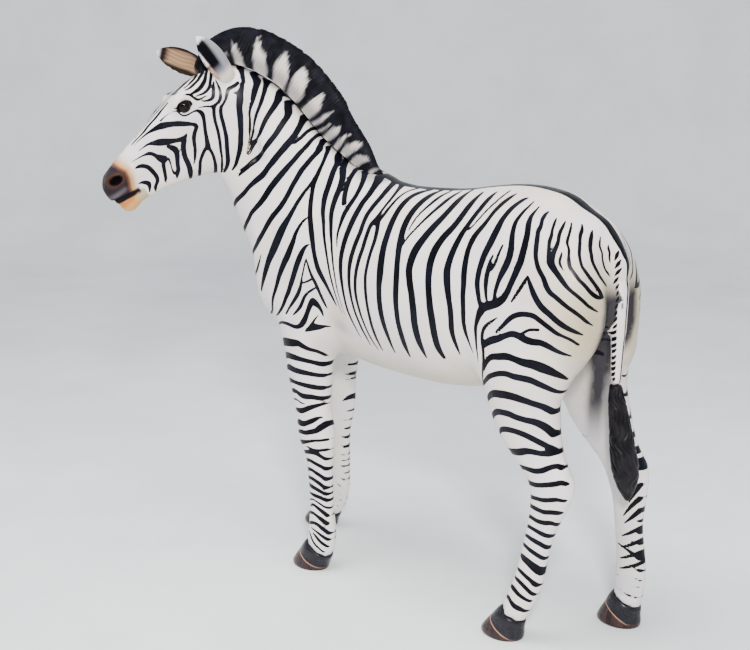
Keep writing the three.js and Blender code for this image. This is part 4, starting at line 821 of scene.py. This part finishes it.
def airbrushed_and_shaded(co, n):
    """The colour of the ground at every point of the skin, with its painted shade."""
    x, y, z = co.T
    side = np.abs(x - MID)
    colour = np.tile(np.array(WHITE), (len(co), 1))
    for (a, b, c), (ra, rb, rc), tint, share in MISTS:
        r = ((side - a) / ra) ** 2 + ((y - b) / rb) ** 2 + ((z - c) / rc) ** 2
        colour = blend(colour, tint, share * np.exp(-r))
    # Painted shade at the foot of the mane, under the belly and inside the legs.
    crest, _ = gap_to(co[:, 1:], CREST)
    colour = blend(colour, (0.26, 0.24, 0.21), 0.8 * np.exp(-(crest / 15) ** 2) * (n[:, 2] > -0.2))
    under = ease(-n[:, 2], 0.1, 0.9) * ease(z, 650, 760)
    colour = blend(colour, BEIGE, 0.45 * under)
    inner = np.clip(n[:, 0] * np.where(x < MID, 1, -1), 0, 1) * (z < 900) * (z > 120)
    colour = blend(colour, (0.50, 0.49, 0.48), 0.6 * inner)
    # The dark streak behind the tail, part dark paint and part painted shade in the hollow between the
    # thighs, and the clean white tail in front of it.
    streak = np.abs(y - np.interp(z, *zip(*CLEFT_DARK_AND_SHADE)))
    reach = np.interp(z, [870, 1060], [16, 60])
    cleft_dark_and_shade = ease(-streak, -reach - 30, 4 - reach) * ease(-side, -128, -98)
    cleft_dark_and_shade *= ease(z, 600, 800) * ease(-z, -1225, -1150)
    colour = blend(colour, (0.014, 0.013, 0.020), 0.97 * cleft_dark_and_shade)
    thick = np.interp(z, [874, 1000, 1150, 1200], [20, 26, 34, 37])
    tail = (np.hypot(side, y - 879) < thick) & (z < 1210)
    colour = blend(colour, WHITE, tail * 1.0)
    colour = blend(colour, BLUSH, tail * 0.45 * ease(-z, -1150, -880))
    # The jaw's edge: a beige band of painted shade in the fold where it meets the throat.
    u, v, w = head_axes(co).T
    head = (u > -40) & (u < 650) & (np.abs(w) < 130) & (z > 1200)
    strip, _ = gap_to(np.stack([u, v], 1), [(-4, -96), (30, -140), (64, -180), (105, -215), (150, -252)])
    colour = blend(colour, BEIGE, head * 0.6 * np.exp(-(strip / 13) ** 2) * (u < 160))
    # The dark muzzle begins at this u for each v, with a tan ring behind it.
    edge = np.interp(v, [-135, -95, -60, -35, 0, 30], [520, 515, 500, 494, 508, 512])
    f = u - edge
    colour = blend(colour, (0.62, 0.42, 0.24), head * 0.75 * ease(f, -75, -22) * ease(v, -60, 10))
    colour = blend(colour, (0.55, 0.30, 0.13), head * ease(f, -44, -14))
    colour = blend(colour, (0.12, 0.045, 0.025), head * ease(f, -16, -2))
    colour = blend(colour, (0.022, 0.017, 0.022), head * ease(f, -3, 9))
    # Lips, chin, the line of the mouth and the nostrils.
    lip = np.exp(-((v + 85) / 9) ** 2) * ease(u, 512, 535) * ease(-u, -596, -575)
    colour = blend(colour, (0.11, 0.085, 0.10), head * 0.8 * lip)
    chin = ease(-v, 119, 126) * (u > 470)
    colour = blend(colour, (0.54, 0.29, 0.10), head * chin)
    low_lip = ease(u, 510, 535) * np.exp(-((v + 132) / 12) ** 2)
    colour = blend(colour, (0.52, 0.17, 0.035), head * chin * low_lip)
    colour = blend(colour, (0.40, 0.38, 0.27), head * chin * ease(-u, -520, -490) * 0.8)
    mouth, _ = gap_to(np.stack([u, v], 1), MOUTH)
    colour = blend(colour, INK, head * (u > 484) * ease(-mouth, -13, -8))
    corner = np.hypot((u - 497) / 9, (v + 122) / 7)
    colour = blend(colour, (0.50, 0.22, 0.08), head * 0.7 * np.exp(-corner ** 2) * (mouth > 5))
    rim = oval_gap(head_axes(co), *NOSTRIL)
    colour = blend(colour, (0.050, 0.024, 0.016), head * 0.85 * ease(-rim, -2.4, -1.2))
    colour = blend(colour, (0.004, 0.003, 0.004), head * ease(-rim, -1.22, -1.02))
    return np.clip(colour, 0, 1)


ground = airbrushed_and_shaded(co, normals(co, tri))
shell = cast("moulded_shell", co, tri, stripe=gap, ground=ground)
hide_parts(*FLESH)
unwrap(shell)


def look(name, roughness=0.3, **sockets):
    """A new paint with its constant sockets set."""
    paint = bpy.data.materials.new(name)
    paint.use_nodes = True
    tree = paint.node_tree
    shader = tree.nodes["Principled BSDF"]
    shader.inputs["Roughness"].default_value = roughness
    for key, value in sockets.items():
        shader.inputs[key.replace("_", " ")].default_value = value
    return paint, tree, shader


def node(tree, kind, inputs=(), **settings):
    """A shader node, its settings, then its inputs: a value, or another node's output."""
    made = tree.nodes.new("ShaderNode" + kind)
    for key, value in settings.items():
        setattr(made, key, value)
    for key, value in dict(inputs).items():
        if isinstance(value, bpy.types.NodeSocket):
            tree.links.new(value, made.inputs[key])
        else:
            made.inputs[key].default_value = value
    return made


def read(tree, name):
    """A painted attribute of the piece."""
    return node(tree, "Attribute", attribute_name=name)


def noise(tree, scale, detail=4.0, rough=0.5, stretch=(1, 1, 1)):
    place = node(tree, "TexCoord").outputs["Object"]
    mapped = node(tree, "Mapping", {"Vector": place, "Scale": stretch}).outputs["Vector"]
    grain = {"Vector": mapped, "Scale": scale, "Detail": detail, "Roughness": rough}
    return node(tree, "TexNoise", grain).outputs["Fac"]


def ramp(tree, value, low, high, to_low=0.0, to_high=1.0):
    """A smooth step from to_low, where value is low, to to_high, where it is high."""
    ends = {"Value": value, "From Min": low, "From Max": high, "To Min": to_low, "To Max": to_high}
    return node(tree, "MapRange", ends, interpolation_type="SMOOTHSTEP").outputs["Result"]


def mix(tree, share, a, b, blend_type="MIX"):
    parts = {"Factor": share, "A": a, "B": b}
    return node(tree, "Mix", parts, data_type="RGBA", blend_type=blend_type).outputs["Result"]


def maths(tree, what, a, b):
    return node(tree, "Math", {0: a, 1: b}, operation=what).outputs["Value"]


def bump(tree, height, strength, distance):
    relief = {"Height": height, "Strength": strength, "Distance": distance}
    return node(tree, "Bump", relief).outputs["Normal"]


# The paint: soft mottling in the white, a slightly uneven hand-cut edge, a faint orange peel in the
# clear coat, and a duller film on the black and on the darkest ground.
gloss, tree, shader = look("striped_gloss_paint", Coat_Roughness=0.2)
wobble = maths(tree, "MULTIPLY", maths(tree, "SUBTRACT", noise(tree, 55, 3), 0.5), 1.6)
edge = ramp(tree, maths(tree, "ADD", read(tree, "stripe").outputs["Fac"], wobble), -0.8, 0.7)
mottle = ramp(tree, noise(tree, 7, 6, 0.6), 0.35, 0.7, 0.93, 1.03)
warmth = ramp(tree, noise(tree, 11, 5), 0.3, 0.7, 0.92, 1.02)
cloud = node(tree, "CombineColor", {"Red": mottle, "Green": mottle, "Blue": warmth}).outputs["Color"]
ground_paint = mix(tree, 1.0, read(tree, "ground").outputs["Color"], cloud, "MULTIPLY")
black = mix(tree, ramp(tree, noise(tree, 9, 4), 0.35, 0.7), (0.0015, 0.0015, 0.003, 1),
            (0.0035, 0.004, 0.009, 1))
tree.links.new(mix(tree, edge, black, ground_paint), shader.inputs["Base Color"])
dull = ramp(tree, read(tree, "ground").outputs["Fac"], 0.012, 0.05)
shine = maths(tree, "MULTIPLY", dull, ramp(tree, edge, 0, 1, 0.07, 0.15))
tree.links.new(shine, shader.inputs["Specular IOR Level"])
tree.links.new(maths(tree, "MULTIPLY", dull, 0.05), shader.inputs["Coat Weight"])
tree.links.new(ramp(tree, noise(tree, 14, 5), 0.3, 0.75, 0.28, 0.40), shader.inputs["Roughness"])
tree.links.new(bump(tree, noise(tree, 160, 2), 0.10, 0.0008), shader.inputs["Normal"])
shell.data.materials.append(gloss)

# HOOVES.
# Each hoof is cast with the leg and painted glossy dark brown, with a near-black coronet band above a
# thin tan line that runs parallel to the coronet and fades at the heel.
CORONET_FALL = 56       # mm that the coronet drops from toe to heel


def finer_all(co, tri, rounds, longest):
    """Halves every edge that is longer than longest, in mm, so many times over."""
    for _ in range(rounds):
        co, tri = finer(co, tri, lambda p: np.ones(len(p), bool), longest)
    return co, tri


for name in [f"hoof_{a}_{b}" for a in ("front", "hind") for b in ("left", "right")]:
    co, tri = finer_all(*solid(name), 3, 9)
    _, y, z = co.T
    fore, rear = y.min(), y.max()
    along = (y - fore) / (rear - fore)
    top = np.interp(along, [0.25, 0.85], [z.max(), z.max() - CORONET_FALL])
    depth = top - z
    hoof = cast(name + "_painted", co, tri, depth=depth, along=along)
    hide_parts(name)
    only(hoof)
    bpy.ops.object.shade_smooth_by_angle(angle=math.radians(40))
    if name == "hoof_front_left":
        horn, tree, shader = look("hoof_paint", Specular_IOR_Level=0.22, Coat_Weight=0.1, Coat_Roughness=0.25)
        deep = read(tree, "depth").outputs["Fac"]
        streak = noise(tree, 38, 5, 0.6, (1, 1, 0.25))
        wall = mix(tree, ramp(tree, streak, 0.3, 0.75), (0.016, 0.009, 0.012, 1), (0.050, 0.022, 0.016, 1))
        band = mix(tree, ramp(tree, noise(tree, 30), 0.3, 0.8), (0.006, 0.006, 0.010, 1),
                   (0.014, 0.012, 0.016, 1))
        line = maths(tree, "MULTIPLY", ramp(tree, deep, 41, 43.5), ramp(tree, deep, 47, 44.5))
        line = maths(tree, "MULTIPLY", line, ramp(tree, read(tree, "along").outputs["Fac"], 0.95, 0.7))
        low = mix(tree, ramp(tree, deep, 42, 46), band, wall)
        tree.links.new(mix(tree, line, low, (0.45, 0.25, 0.16, 1)), shader.inputs["Base Color"])
        tree.links.new(ramp(tree, streak, 0.3, 0.8, 0.22, 0.4), shader.inputs["Roughness"])
        rings = node(tree, "TexWave", {"Vector": node(tree, "TexCoord").outputs["Object"], "Scale": 22.0,
                                       "Distortion": 2.5, "Detail": 2.0}, bands_direction="Z").outputs["Fac"]
        tree.links.new(bump(tree, rings, 0.12, 0.002), shader.inputs["Normal"])
    hoof.data.materials.append(horn)

# EARS.
# Two thin cast cups set behind the poll. Outside they are white with a black band and a black front
# rim; inside they are painted tan with a few darker hairs drawn on.
EARS = {     # root, tip and the way the cup faces, in head axes (u, v, w)
    "ear_left": ((-19, 8, 64), (0, 203, 108), (0.42, 0, -0.9)),
    "ear_right": ((8, 62, -62), (103, 217, -160), (0.6, 0.1, 0.75)),
}
for name, (root, tip, face) in EARS.items():
    co, tri = finer_all(*solid(name), 4, 6)
    co = sand(co, tri, 4)
    root, tip, face = (np.array(v, float) for v in (root, tip, face))
    q, n = head_axes(co), normals(co, tri) @ HEAD_AXES.T
    axis = (tip - root) / np.linalg.norm(tip - root)
    along = (q - root) @ axis / np.linalg.norm(tip - root)
    face = face - axis * (face @ axis)
    face /= np.linalg.norm(face)
    across = np.cross(axis, face)
    if across[0] < 0:
        across = -across
    side = (q - root) @ across
    inside = ease(n @ face, 0.0, 0.35)
    # The outside: white, a soft grey shade, the black band and the black front rim.
    white = np.tile(np.array(WHITE), (len(co), 1))
    wide = np.abs(side).max()
    edge_at = wide * np.sqrt(np.clip(1 - np.abs(along * 1.9 - 0.9) ** 2.4, 0.01, 1))
    ahead = side / edge_at
    ground = blend(white, (0.13, 0.15, 0.18), 0.85 * ease(along, 0.08, 0.3) * ease(-along, -0.93, -0.84))
    ground = blend(ground, (0.45, 0.43, 0.41), 0.6 * ease(-ahead, 0.5, 0.95) * ease(along, 0.1, 0.3))
    ground = blend(ground, (0.004, 0.004, 0.006), ease(ahead + 0.6 * (along - 0.6), -0.3, 0.2)
                   * ease(along, 0.2, 0.45) * ease(-along, -0.95, -0.88))
    ground = blend(ground, BEIGE, 0.7 * ease(-along, -0.2, -0.06))
    rim = ease(ahead, 0.80, 0.90)
    ground = blend(ground, (0.45, 0.27, 0.17), rim * ease(along, 0.12, 0.2) * ease(-along, -0.5, -0.4))
    ground = blend(ground, WHITE, rim * ease(along, 0.46, 0.54))
    # The inside: tan with darker hairs, a black hem and a white tip.
    streak = 0.5 + 0.5 * np.sin(side * 0.42 + 2.0 * np.sin(along * 9))
    cup = blend(np.tile(np.array((0.46, 0.27, 0.15)), (len(co), 1)), (0.10, 0.06, 0.045), 0.5 * streak)
    ends = np.maximum(ease(along, 0.72, 0.86), ease(-along, -0.26, -0.12))
    hem = np.maximum(ease(np.abs(ahead), 0.45, 0.78), ends)
    cup = blend(cup, (0.010, 0.008, 0.009), 0.97 * hem)
    cup = blend(cup, WHITE, ease(along, 0.90, 0.96))
    ground = ground * (1 - inside[:, None]) + cup * inside[:, None]
    no_stroke = np.full(len(co), 9.0)
    ear = cast(name + "_cup", co, tri, stripe=no_stroke, ground=ground)
    ear.data.materials.append(gloss)
    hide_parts(name)

# MANE.
# The upright mane is one cast fin along the crest, carved with strands from root to tip and painted
# black, with feathered white patches that carry the neck's white bands up into it.
MANE_PATCHES = [
    [(-672, 1893, 14), (-668, 1905, 18), (-664, 1915, 6)],
    [(-620, 1862, 28), (-630, 1890, 28), (-643, 1925, 22), (-655, 1958, 10)],
    [(-555, 1825, 35), (-560, 1855, 47), (-565, 1890, 43), (-572, 1930, 28), (-577, 1965, 9)],
    [(-500, 1790, 50), (-490, 1825, 57), (-490, 1855, 55), (-485, 1885, 35), (-480, 1912, 9)],
    [(-452, 1738, 35), (-438, 1765, 60), (-425, 1800, 60), (-418, 1825, 50), (-415, 1848, 16)],
    [(-410, 1685, 45), (-385, 1705, 50), (-365, 1725, 46), (-345, 1755, 16)],
    [(-380, 1652, 16), (-350, 1665, 20), (-325, 1685, 18), (-300, 1702, 6)],
    [(-360, 1627, 10), (-335, 1637, 12), (-310, 1657, 6)],
    [(-330, 1600, 25), (-305, 1615, 35), (-280, 1635, 30), (-268, 1652, 8)],
    [(-285, 1570, 22), (-265, 1590, 25), (-245, 1610, 18), (-228, 1620, 6)],
    [(-250, 1545, 30), (-230, 1565, 40), (-205, 1580, 36), (-185, 1586, 12)],
    [(-210, 1515, 30), (-185, 1530, 40), (-160, 1535, 26), (-147, 1530, 8)],
    [(-135, 1490, 20), (-120, 1500, 12)],
]


def rough_line(length, step, seed):
    """A smooth random wave sampled along a length in mm, about -1 to 1."""
    knots = np.random.default_rng(seed).uniform(-1, 1, int(length / step) + 3)
    return lambda t: np.interp(t, np.arange(len(knots)) * step, knots)


co, tri = finer_all(*solid("mane"), 5, 5.6)
co = sand(co, tri, 5)
n = normals(co, tri)
# Strands stand up from the crest: height above it and t along it, both in mm.
flat = co[:, 1:]
height, along = gap_to(flat, CREST)
lengths = np.cumsum([0] + [math.dist(a, b) for a, b in zip(CREST[:-1], CREST[1:])])
t = np.interp(along * (len(CREST) - 1), np.arange(len(CREST)), lengths)
lean = t + 0.10 * height
sway = rough_line(1300, 30, 3)
strand = lean + 4 * sway(lean) + 3 * np.sin(height / 30 + t / 60)
groove = np.abs(np.sin(strand * math.pi / 11 + 0.8 * sway(t * 0.7)))
fine = np.abs(np.sin(strand * math.pi / 5.3 + 2))
clump = rough_line(1400, 13, 5)(strand + 20)
share = ease(height, 4, 18)
flank = 1 - np.abs(n[:, 1:] @ np.array([0.5, 0.86])) ** 2
push = (2.6 * (groove ** 0.5 - 0.75) + 0.7 * (fine - 0.6)) * share * flank
seam = -1.0 * np.exp(-((height - 5) / 4) ** 2)
tip = ease(height, 95, 125) * (1 - flank)
co = co + n * (push + seam * flank)[:, None]
co[:, 1:] += np.outer(tip * (4.5 * clump - 3.0 + 1.5 * groove), [0.35, 0.94])
patch, _ = paint_gap(flat, MANE_PATCHES, 60.0)
feather = rough_line(1400, 3.2, 9)(strand + 20) * (2 + 5 * ease(height, 20, 90)) + 2 * clump
gap = -(patch + feather)
ground = np.tile(np.array((0.62, 0.55, 0.50)), (len(co), 1))
# Painted shade: the fin is darker just above its foot and down the carved grooves between the strands; it
# goes grey where it feathers into the black.
ground = blend(ground, (0.22, 0.20, 0.18), 0.85 * ease(-height, -80, -30) * ease(height, 2, 18))
ground = blend(ground, (0.16, 0.16, 0.18), 0.35 * (1 - groove) + 0.5 * ease(-gap, -14, 0))
mane = cast("carved_mane", co, tri, stripe=np.clip(gap, -25, 25), ground=ground)
satin, tree, shader = look("mane_paint", Specular_IOR_Level=0.07)
fray = maths(tree, "MULTIPLY", maths(tree, "SUBTRACT", noise(tree, 70, 3), 0.5), 6.0)
split_edge = ramp(tree, maths(tree, "ADD", read(tree, "stripe").outputs["Fac"], fray), -5.0, 9.0)
soot = mix(tree, ramp(tree, noise(tree, 26, 4), 0.35, 0.7), (0.002, 0.002, 0.003, 1),
           (0.006, 0.006, 0.010, 1))
tree.links.new(mix(tree, split_edge, soot, read(tree, "ground").outputs["Color"]),
               shader.inputs["Base Color"])
tree.links.new(ramp(tree, noise(tree, 30, 4), 0.3, 0.75, 0.38, 0.6), shader.inputs["Roughness"])
tree.links.new(bump(tree, noise(tree, 120, 3), 0.25, 0.0015), shader.inputs["Normal"])
mane.data.materials.append(satin)
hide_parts("mane")

# TAIL TUFT.
# The tuft hangs from the dock as a cast mass of long wavy locks, with loose locks curling off its
# sides. It is painted satin black.
co, tri = finer_all(*solid("tail_tuft"), 5, 5.0)
co = sand(co, tri, 3)
n = normals(co, tri)
x, y, z = co.T
rows = np.linspace(z.min(), z.max(), 40)
centre = np.array([[x[np.abs(z - r) < 14].mean(), y[np.abs(z - r) < 14].mean()] for r in rows])
cx, cy = np.interp(z, rows, centre[:, 0]), np.interp(z, rows, centre[:, 1])
turn = np.arctan2(y - cy, x - cx)
wave = 0.42 * np.sin(z / 26) + 0.2 * np.sin(z / 11 + 1.3) + z / 300
locks = np.abs(np.sin(4.5 * (turn + wave)))
hairs = np.abs(np.sin(13 * (turn + wave * 1.05) + 1.1 * np.sin(z / 40)))
body = ease(-z, -880, -845) * ease(z, 490, 520)
co = co + n * ((6.5 * (locks ** 0.6 - 0.72) + 1.6 * (hairs - 0.6)) * body * (1 - np.abs(n[:, 2])))[:, None]
shells = [(co, tri)]
LOCKS = 30
RINGS = 26              # rings of points along a lock
SIDES = 8               # points in a ring
FULL_TURN = 6.28


def lock(start, end, bulge, thick, waves, seed):
    """One wavy tapering lock, closed at both ends."""
    dice = np.random.default_rng(seed)
    s = np.linspace(0, 1, RINGS)
    a, b = np.array(start, float), np.array(end, float)
    aside = np.cross(b - a, (0.3, 1, 0))
    aside /= np.linalg.norm(aside)
    out = np.cross(aside, b - a)
    out /= np.linalg.norm(out)
    phase = dice.uniform(0, FULL_TURN)
    path = a + np.outer(s, b - a) + np.outer(np.sin(math.pi * s) * bulge, out)
    path += np.outer(thick * 0.9 * np.sin(waves * FULL_TURN * s + phase) * ease(s, 0, 0.3), aside)
    half = thick * np.clip(np.sin(math.pi * (0.12 + 0.88 * s)) ** 0.7, 0.02, 1) * (1 - 0.35 * s)
    ring = []
    for k in range(RINGS):
        d = path[min(k + 1, RINGS - 1)] - path[max(k - 1, 0)]
        d /= np.linalg.norm(d)
        e = np.cross(d, out)
        e /= np.linalg.norm(e)
        f = np.cross(e, d)
        angle = np.linspace(0, 2 * math.pi, SIDES + 1)[:-1] + 0.6 * s[k]
        ring.append(path[k] + half[k] * (np.outer(np.cos(angle), e) + 0.6 * np.outer(np.sin(angle), f)))
    co = np.vstack(ring + [path[:1], path[-1:]])
    tri = []
    for k in range(RINGS - 1):
        for i in range(SIDES):
            p, q = k * SIDES + i, k * SIDES + (i + 1) % SIDES
            tri += [(p, q, q + SIDES), (p, q + SIDES, p + SIDES)]
    first, last = RINGS * SIDES, (RINGS - 1) * SIDES
    for i in range(SIDES):
        j = (i + 1) % SIDES
        tri += [(first, j, i), (first + 1, last + i, last + j)]
    return co, np.array(tri)


def at_z(h):
    """The middle of the tuft at a height."""
    return np.array([np.interp(h, rows, centre[:, 0]), np.interp(h, rows, centre[:, 1]), h])


def wide_at(h):
    """Half the width of the tuft at a height."""
    return np.interp(h, [490, 560, 640, 760, 874], [14, 34, 40, 32, 17])


for k in range(LOCKS):
    top = 850 - 250 * ((k * 7) % LOCKS) / LOCKS
    low = max(top - 150 - 40 * (k % 3), 488 + 6 * (k % 5))
    angle = k * 2.4
    ray = np.array([math.cos(angle), math.sin(angle), 0])
    flare = 1.05 + 0.16 * (k % 4 == 0)
    shells.append(lock(at_z(top) + ray * wide_at(top) * 0.7, at_z(low) + ray * wide_at(low) * flare * 0.94,
                       5, 5.0 + (k % 3), 1.5 + 0.5 * (k % 2), k))
base, all_co, all_tri = 0, [], []
for co, tri in shells:
    all_co.append(co)
    all_tri.append(tri + base)
    base += len(co)
co, tri = np.vstack(all_co), np.vstack(all_tri)
tuft = cast("wavy_tail_tuft", co, tri)
only(tuft)
bpy.ops.object.mode_set(mode="EDIT")
bpy.ops.mesh.select_all(action="SELECT")
bpy.ops.mesh.normals_make_consistent(inside=False)
bpy.ops.object.mode_set(mode="OBJECT")
jet, tree, shader = look("tuft_paint", Specular_IOR_Level=0.10)
tree.links.new(mix(tree, ramp(tree, noise(tree, 24, 4), 0.35, 0.7), (0.003, 0.003, 0.004, 1),
                   (0.012, 0.010, 0.012, 1)), shader.inputs["Base Color"])
tree.links.new(ramp(tree, noise(tree, 35, 4), 0.3, 0.75, 0.3, 0.5), shader.inputs["Roughness"])
tree.links.new(bump(tree, noise(tree, 90, 3, 0.6, (1, 1, 0.2)), 0.3, 0.002), shader.inputs["Normal"])
tuft.data.materials.append(jet)
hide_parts("tail_tuft")

# EYES.
# Each eye is a polished dark ball pressed in from behind the lids: near-black, with a red-brown
# iris that shows only towards the front.
EYE_PLACE = (179, 31, 77)       # in head axes
EYE_RADIUS = 27
for name, w in (("eye_left", EYE_PLACE[2]), ("eye_right", -EYE_PLACE[2])):
    bpy.ops.object.select_all(action="DESELECT")
    bpy.ops.mesh.primitive_uv_sphere_add(segments=48, ring_count=32, radius=1)
    ball = bpy.context.object
    co, _ = arrays(ball)
    direction = co / 1000
    place = POLL + np.array([*EYE_PLACE[:2], w]) @ HEAD_AXES
    gaze = np.array([0.42, -0.05, 0.91 * np.sign(w)]) @ HEAD_AXES
    gaze /= np.linalg.norm(gaze)
    facing = direction @ gaze
    ball.data.vertices.foreach_set("co", ((direction * EYE_RADIUS + place) / 1000).ravel())
    layer = ball.data.attributes.new("facing", "FLOAT", "POINT")
    layer.data.foreach_set("value", facing.astype(np.float32))
    ball.name = name + "_ball"
    only(ball)
    bpy.ops.object.shade_smooth()
    if w > 0:
        glass, tree, shader = look("polished_eye", 0.04, Specular_IOR_Level=0.14)
        look_at = read(tree, "facing").outputs["Fac"]
        iris = mix(tree, ramp(tree, noise(tree, 300, 2), 0.3, 0.7), (0.013, 0.004, 0.003, 1),
                   (0.007, 0.003, 0.002, 1))
        dark = mix(tree, ramp(tree, look_at, 0.80, 0.86), (0.005, 0.003, 0.003, 1), iris)
        tree.links.new(mix(tree, ramp(tree, look_at, 0.90, 0.93), dark, (0.002, 0.002, 0.003, 1)),
                       shader.inputs["Base Color"])
    ball.data.materials.append(glass)
    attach(ball, "root")
    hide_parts(name)

# STUDIO.
# A pale floor sweeps up into a pale wall all round. A small key lamp throws the soft shadow, a wide
# lamp overhead fills it, and the camera stands behind the figure's left hip. All in metres.
bpy.ops.object.select_all(action="DESELECT")
FLOOR_RADIUS = 7.5
SWEEP_RADIUS = 2.5
WALL_TOP = 9
curve = [(FLOOR_RADIUS + SWEEP_RADIUS * math.sin(a), SWEEP_RADIUS - SWEEP_RADIUS * math.cos(a))
         for a in np.linspace(0.1, math.pi / 2, 12)]
profile = [(0, 0), (FLOOR_RADIUS, 0)] + curve + [(FLOOR_RADIUS + SWEEP_RADIUS, WALL_TOP)]
around = 96
points = [(r * math.cos(math.tau * k / around), r * math.sin(math.tau * k / around), h)
          for r, h in profile for k in range(around)]
faces = []
for j in range(1, len(profile) - 1):
    for k in range(around):
        low, high, turned = j * around, (j + 1) * around, (k + 1) % around
        faces.append((high + k, high + turned, low + turned, low + k))
faces.append([around + k for k in range(around)])
data = bpy.data.meshes.new("studio_sweep")
data.from_pydata(points, [], faces)
sweep = bpy.data.objects.new("studio_sweep", data)
bpy.context.collection.objects.link(sweep)
for face in data.polygons:
    face.use_smooth = True
pale, tree, shader = look("pale_studio_paint", 0.9, Specular_IOR_Level=0.15)
tree.links.new(mix(tree, ramp(tree, noise(tree, 0.9, 8, 0.65), 0.3, 0.75), (0.79, 0.81, 0.82, 1),
                   (0.90, 0.91, 0.93, 1)), shader.inputs["Base Color"])
data.materials.append(pale)

world = bpy.data.worlds.new("studio_air")
bpy.context.scene.world = world
world.use_nodes = True
world.node_tree.nodes["Background"].inputs["Color"].default_value = (0.92, 0.95, 1.0, 1)
world.node_tree.nodes["Background"].inputs["Strength"].default_value = 1.0


def lamp(name, place, target, size, power, colour=(1, 1, 1)):
    """A round soft lamp that points at its target."""
    data = bpy.data.lights.new(name, "AREA")
    data.shape, data.size, data.energy, data.color = "DISK", size, power, colour
    made = bpy.data.objects.new(name, data)
    made.location = place
    made.rotation_euler = (Vector(target) - Vector(place)).to_track_quat("-Z", "Y").to_euler()
    bpy.context.collection.objects.link(made)
    return made


lamp("key_lamp", (3.6, 3.6, 3.4), (0, 0, 1.0), 0.7, 420, (1.0, 0.98, 0.95))
lamp("top_lamp", (1.0, -0.5, 5.2), (0, 0, 0.9), 3.0, 260).visible_glossy = False

camera = bpy.data.objects.new("camera", bpy.data.cameras.new("camera"))
camera.location = (3.1535, 2.8446, 1.844)
camera.rotation_euler = Vector((-0.7298, -0.6536, -0.2007)).to_track_quat("-Z", "Y").to_euler()
camera.data.lens = 59.47
camera.data.sensor_width = 36
bpy.context.collection.objects.link(camera)
bpy.context.scene.camera = camera
